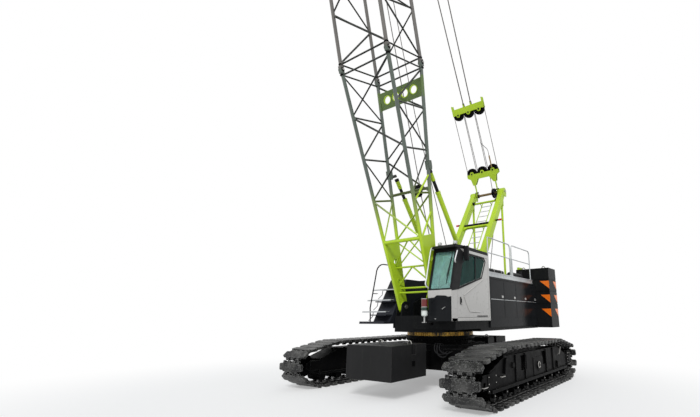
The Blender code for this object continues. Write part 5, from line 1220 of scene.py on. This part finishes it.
def shown_bails():
    """Both bails, the lower one with links down to the gantry's axle."""
    width = BAIL_SPACING + 0.24
    link_x = GANTRY_X - MAST_WIDTH / 2 - 0.08
    low = LOWER_BAIL
    half = [(0.27, low - 0.25), (link_x - 0.06, low - 0.5), (link_x + 0.06, low - 0.5),
            (link_x + 0.11, low - 0.24), (width, low - 0.16), (width, low - 0.02)]
    outline = half + bail_shoulders(low, (1, 0, -1), -10, 190) + mirror_half(half)
    groups = bail_groups(low, outline)
    cheeks, pins = groups[0][0], groups[2][0]
    link = [*arc((0, 0), 0.09, 150, 390, 14), (0.035, 0.2), (0.05, low - 0.36), (-0.05, low - 0.36),
            (-0.035, 0.2)]
    cheeks.extend(both_sides([slab(link, link_x - 0.016, link_x + 0.016, bevel=0.004)]))
    pins.extend(both_sides([pin((link_x, 0, z), 0.07, 0.034, 16, 0.004) for z in (0.15, low - 0.43)]))
    guard = [(BAIL_SPACING, low + 0.58), (BAIL_SPACING, low + 0.8), (0.47, low + 0.88), (0.24, low + 1.2)]
    pins.append(sweep([(x, -0.09, z) for x, z in guard], 0.011, 8))
    strap = sweep([(BAIL_SPACING, -0.09, low + 0.1), (BAIL_SPACING, -0.09, low + 0.6)], 0.028, 12)
    groups.append(([strap], BRONZE))
    show("lower_bail_dressed", groups, "lower_bail", ["lower_bail"], LUFF)

    top = UPPER_BAIL + 0.27
    half = [(width, UPPER_BAIL), (width, top + 0.16), (width - 0.05, top + 0.16), (width - 0.05, top)]
    outline = bail_shoulders(UPPER_BAIL, (-1, 0, 1), 170, 370) + half + mirror_half(half)
    groups = bail_groups(UPPER_BAIL, outline)
    beam = block((0.05 - width, -0.06, top - 0.03), (width - 0.05, 0.06, top), 0.004)
    groups[0][0].extend([beam, *(lump((x, 0, top + 0.06), (0.03, 0.04, 0.06), 0.006) for x in (-0.17, 0.17))])
    show("upper_bail_dressed", groups, "upper_bail", ["upper_bail"], LUFF)


def rope(name, points, radius, body="superstructure"):
    """A rope that rides one body, or, when a pair of bodies is given with its end points, stays fixed where
    it is made.
    """
    if not isinstance(body, str):
        body = (*body, points[0], points[-1])
    show(name, [([sweep(points, radius, 8)], WIRE)], body)


def shown_luffing_ropes():
    """Six falls between the bails and the lead from the winch over the gantry's sheave."""
    falls = []
    for i in (-1, 0, 1):
        for side in (-1, 1):
            x = i * BAIL_SPACING + side * (BAIL_RADIUS - 0.014)
            falls.append(sweep(line((x, -0.012 * side, LOWER_BAIL), (x, 0.012 * side, UPPER_BAIL), 16), 0.013,
                               8))
    ends = LUFF @ Vector((0, 0, LOWER_BAIL + 0.2)), LUFF @ Vector((0, 0, UPPER_BAIL - 0.2))
    show("luffing_falls", [(falls, WIRE)], ("lower_bail", "upper_bail", *ends), place=LUFF)
    _, drum_y, core, _ = WINCHES["luffing_drum"]
    radius = core + 0.03
    _, y, z = GANTRY_TOP
    up = line((0.26, drum_y + radius * 0.93, WINCH_Z + radius * 0.35), (0.3, y + 0.185, z - 0.02))
    over = hoop((0.3, y, z), 0.185, 0, 150, 13)
    show("luffing_lead_rope", [([sweep(up, 0.014, 8), sweep(over, 0.014, 8)], WIRE)])
    down = line((0.3, y - 0.16, z + 0.09), LUFF @ Vector((0.3, -0.02, LOWER_BAIL - 0.1)), 16)
    rope("luffing_lead_to_bail", down, 0.013, ("superstructure", "lower_bail"))


def shown_hoist_ropes():
    """The main rope over the guide sheave and the auxiliary rope, both up the boom's back to its head."""
    _, sheave_y, sheave_z = joint_place("guide_sheave_turn")
    _, y, core, _ = WINCHES["main_hoist_drum"]
    lower = line((0.12, y + 0.01 - core, WINCH_Z + 0.05), (0.12, sheave_y + 0.155, sheave_z - 0.03), 28)
    rope("hoist_rope_lower", lower, 0.014, ("superstructure", "boom"))
    back = hoop((0.12, sheave_y, sheave_z), 0.165, -10, 30, 5)
    upper = back + line(back[-1], HEAD_AXIS + Vector((0.05, 0.2, -0.15)), 30)[1:]
    rope("hoist_rope_upper", upper, 0.014, "boom")
    _, y, core, _ = WINCHES["auxiliary_hoist_drum"]
    radius = core + 0.04
    joint = BOOM @ Vector((-0.02, 1.42, 6.1))
    lower = line((-0.02, y - radius * 0.9, WINCH_Z + radius * 0.4), joint, 36)
    rope("auxiliary_rope_lower", lower, 0.013, ("superstructure", "boom"))
    rope("auxiliary_rope_upper", line(joint, HEAD_AXIS + Vector((-0.12, 0.45, -0.35)), 36), 0.013, "boom")


# Boom


def width_at(s):
    return FOOT_WIDTH + (BOOM_WIDTH - FOOT_WIDTH) * s / FOOT_SECTION


def depth_at(s):
    return FOOT_DEPTH + (BOOM_DEPTH - FOOT_DEPTH) * s / FOOT_SECTION


def shown_boom():
    """Pins at the section joints, foot pins, backstop seats, guide braces and collars along the chords."""
    pins, lugs, seats, lime = [], [], [], []
    for s in (FOOT_SECTION, FOOT_SECTION + INSERT_SECTION, HEAD_START):
        for y in (-BOOM_DEPTH / 2, BOOM_DEPTH / 2):
            x = BOOM_WIDTH / 2
            pins.append(pin((x, y, s), 0.1, 0.034, 16, 0.004))
            lugs += [ring(0.03, 0.062, -0.004, 0.004, (x + edge, y, s), 20) for edge in (-0.067, 0.067)]
            lugs += [bar((x, y, s + dz - 0.02), (x, y, s + dz + 0.02), 0.066, 16, 0.006)
                     for dz in (-0.16, 0.16)]
    x = FOOT_WIDTH / 2
    pins.append(pin((x, 0, 0), 0.15, 0.062, 24, 0.006))
    flare = [(0.075, -0.056), (0.155, -0.056), (0.165, -0.048), (0.165, 0.048), (0.155, 0.056),
             (0.075, 0.056), (0.075, -0.056)]
    lime.append(spun(flare, (x, 0, 0), 36))
    lime += [ring(radius, radius + 0.02, -0.052, 0.052, (width_at(s) / 2, 0, s), 28)
             for s, radius in ((1.39, 0.085), (0.8, 0.05))]
    rear, x = depth_at(4.15) / 2, width_at(4.15) / 2
    seat = [(rear - 0.05, 4.0), (rear + 0.08, 3.98), (rear + 0.11, 4.08), (rear + 0.11, 4.27),
            (rear - 0.05, 4.27)]
    seats.append(slab(seat, x - 0.075, x + 0.075, bevel=0.008))
    plate_s = 6.585
    lime += [ring(0.122, 0.148, -0.022, 0.022, (width_at(6.3) / 2 * share, depth_at(plate_s) / 2, plate_s),
                  28, "Y")
             for share in (0.21, 0.62)]
    braces = [bar((width_at(s0) / 2, -depth_at(s0) / 2, s0), (width_at(s1) / 2, depth_at(s1) / 2, s1), 0.03,
                  12)
              for s0, s1 in ((3.05, 3.85), (1.95, 2.75))]
    groups = [(both_sides(pins), BARE_STEEL), (both_sides(lugs), BLACK), (both_sides(seats), BOOM_PAINT),
              (both_sides(lime) + braces, LIME)]
    show("boom_pins_and_seats", groups, "boom", place=BOOM)

    spot = (0.12, depth_at(3.45) / 2 + 0.25, 3.45)
    groups = [([sheave_form(0.195, 0.155, 0.05, spot)], BLACK),
              ([pin(spot, 0.1, 0.034, 20, 0.004)], BARE_STEEL)]
    show("guide_sheave_wheel", groups, "guide_sheave", ["guide_sheave"], BOOM)


def shown_backstops():
    """Sleeves that lengthen the tubes, with their glands, and heads on the rods."""
    for _, label, _ in SIDES:
        foot = joint_place(f"backstop_{label}_tilt")
        run = Vector(JOINTS[f"backstop_{label}_reach"]["axis"])
        place = leaning(foot, math.atan2(-run.y, run.z))
        sleeve = [(0.054, 2.4), (0.0755, 2.4), (0.0755, 2.88), (0.085, 2.89), (0.085, 2.95), (0.054, 2.95),
                  (0.054, 2.4)]
        show(f"backstop_sleeve_{label}", [([spun(sleeve, (0, 0, 0), 28, "Z")], LIME)],
             f"backstop_tube_{label}", place=place)
        low, high = extent(f"backstop_rod_{label}")
        reach = (Vector((foot.x, (low if run.y < 0 else high).y, high.z)) - foot).length - 0.03
        head = [(0, reach - 0.4), (0.066, reach - 0.38), (0.066, reach - 0.1), (0, reach - 0.08)]
        show(f"backstop_head_{label}", [([spun(head, (0, 0, 0), 24, "Z")], LIME)], f"backstop_rod_{label}",
             place=place)


def shown_head_and_hook():
    """The head's sheave, the hook's falls, and side plates and bolts on the hook block."""
    _, y, z = HEAD_AXIS
    show("head_sheave_wheel", [([sheave_form(0.358, 0.29, 0.048, HEAD_AXIS, steps=56)], BLACK)],
         "head_sheave")
    block_z = z - HOOK_BLOCK_DROP
    cheek = arc((0, 0), 0.34, 20, 160, 16) + [(-0.22, -0.34), (0.22, -0.34)]
    plates = [slab(cheek, 0.15, 0.185, bevel=0.008)]
    steel = [bar((0.15, 0, 0), (0.21, 0, 0), 0.075, 24, 0.008)]
    steel += bolt_heads([(0.185, 0.16, -0.25), (0.185, -0.16, -0.25), (0.185, 0.0, 0.24)], (1, 0, 0), 0.022,
                        0.014)
    show("hook_block_fittings", [(both_sides(plates), LIME), (both_sides(steel), BARE_STEEL)], "hook_block",
         place=Matrix.Translation((0, y, block_z)))
    falls = [sweep(line((0, y + side, block_z), (0, y + side, z - 0.02)), 0.0145, 8) for side in (-0.3, 0.3)]
    show("hook_falls_rope", [(falls, WIRE)],
         ("head_sheave", "hook_block", (0, y, z - 0.5), (0, y, block_z + 0.4)))


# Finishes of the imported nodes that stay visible, by how their names begin. The first match counts.

NODE_FINISHES = (
    (BLACK,
     ("carbody", "slewing_ring", "track_frame", "sprocket", "idler", "engine", "step_handrail",
      "head_sheave")),
    (BLOCK_PAINT, ("front_carbody_weight", "rear_carbody_weight")),
    (SLAB_PAINT, ("deck", "counterweight")),
    (CHARCOAL, ("house", "side_door")),
    (CAB_GREY, ("cab_shell", "cab_door")),
    (SIDE_GLASS, ("door_glass", "inner_side_glass")),
    (SCREEN_GLASS, ("windscreen",)),
    (STEP_PAINT, ("access_steps",)),
    (LIME,
     ("gantry", "main_hoist_drum", "auxiliary_hoist_drum", "luffing_drum", "backstop_tube", "hook_block")),
    (FOOT_PAINT, ("boom_foot",)),
    (BOOM_PAINT, ("boom_insert", "boom_head")),
    (WIRE, ("pendant", "hook_falls")),
    (RUBBER, ("backstop_rod",)),
    (BARE_STEEL, ("hook",)),
)

# Edge rounding of plain plate work, in metres
NODE_ROUNDINGS = (
    (0.018, ("counterweight_tray",)),
    (0.014, ("counterweight",)),
    (0.012, ("front_carbody_weight", "rear_carbody_weight")),
    (0.01, ("house", "gantry_masts")),
    (0.008, ("cab_shell",)),
    (0.006, ("cab_door", "access_steps")),
    (0.004, ("side_door",)),
)


def first_match(table, name):
    return next((value for value, starts in table if name.startswith(starts)), None)


def finish_nodes():
    for name, obj in NODES.items():
        material = first_match(NODE_FINISHES, name)
        if material is None:
            continue
        obj.data.materials.clear()
        obj.data.materials.append(material)
        for polygon in obj.data.polygons:
            polygon.material_index = 0
        width = first_match(NODE_ROUNDINGS, name)
        if width:
            bevel = obj.modifiers.new("rounding", "BEVEL")
            bevel.width = width
            bevel.segments = 2
            bevel.limit_method = "ANGLE"
            bevel.angle_limit = math.radians(40)
            bevel.use_clamp_overlap = True
            bevel.harden_normals = False
            even(obj)


# Studio: floor, light and camera


def linked(name, data):
    obj = bpy.data.objects.new(name, data)
    bpy.context.scene.collection.objects.link(obj)
    return obj


def studio_floor():
    """A pale floor that fades into the white background."""
    mesh = bpy.data.meshes.new("studio_floor")
    reach = 160.0
    corners = [(-reach, -reach, 0), (reach, -reach, 0), (reach, reach, 0), (-reach, reach, 0)]
    mesh.from_pydata(corners, [], [(0, 1, 2, 3)])
    floor = linked("studio_floor", mesh)
    floor.location.z = CAD_LOW.z - 0.002
    made = bpy.data.materials.new("pale_floor")
    kit = Kit(made, blank=True)
    pale = kit.add("BsdfDiffuse", {"Color": (0.93, 0.93, 0.93)})["BSDF"]
    white = kit.add("Emission", {"Strength": 1.0})["Emission"]
    distance = kit.add("VectorMath", {0: kit.add("NewGeometry")["Position"]}, operation="LENGTH")["Value"]
    far = kit.ramp(distance, 5.0, 13.0, 0.35, 1.0)
    kit.surface("Material", kit.times(far, kit.seen_directly()), pale, white)
    mesh.materials.append(made)


def studio_light():
    """A white background, cool light from all round and a soft sun."""
    world = bpy.data.worlds.new("studio")
    bpy.context.scene.world = world
    kit = Kit(world, blank=True)
    lit = kit.add("Background", {"Color": (0.94, 0.97, 1.0), "Strength": 0.52})["Background"]
    white = kit.add("Background", {"Color": (1, 1, 1), "Strength": 1.0})["Background"]
    kit.surface("World", kit.seen_directly(), lit, white)
    light = bpy.data.lights.new("soft_sun", "SUN")
    light.energy = 1.9
    light.angle = math.radians(18)
    linked("soft_sun", light).rotation_euler = Vector((0.45, -0.8, 0.75)).to_track_quat("Z", "Y").to_euler()


def studio_camera():
    """The camera that was fitted to the photo, whose frame is 700 by 417 pixels."""
    data = bpy.data.cameras.new("camera")
    camera = linked("camera", data)
    data.sensor_fit = "HORIZONTAL"
    data.sensor_width = 36.0
    focal_pixels, image_width, image_height = 388.44, 700, 417
    centre_x, centre_y = 433.74, 215.08
    data.lens = focal_pixels * data.sensor_width / image_width
    data.shift_x = (image_width / 2 - centre_x) / image_width
    data.shift_y = (centre_y - image_height / 2) / image_width
    data.clip_start, data.clip_end = 0.1, 500
    camera.location = MACHINE @ Vector((7.0683, -10.6407, 1.9067))
    heading, pitch, roll = math.radians(34.411), math.radians(14.765), math.radians(-0.303)
    level = Matrix.Rotation(heading, 4, "Z") @ Matrix.Rotation(math.pi / 2 + pitch, 4, "X")
    camera.rotation_euler = (level @ Matrix.Rotation(roll, 4, "Z")).to_euler()
    bpy.context.scene.camera = camera
    bpy.context.scene.view_settings.view_transform = "Standard"


for step in (
    finish_nodes, shown_tracks, shown_track_frames, shown_carbody, shown_houses, shown_walkway,
    shown_railing, shown_cab, shown_cab_door, shown_cab_fittings, shown_stack_light, shown_cabin,
    shown_counterweight, shown_steps, shown_winches, shown_gantry, shown_bails, shown_luffing_ropes,
    shown_hoist_ropes, shown_boom, shown_backstops, shown_head_and_hook, studio_floor, studio_light,
    studio_camera,
):
    step()
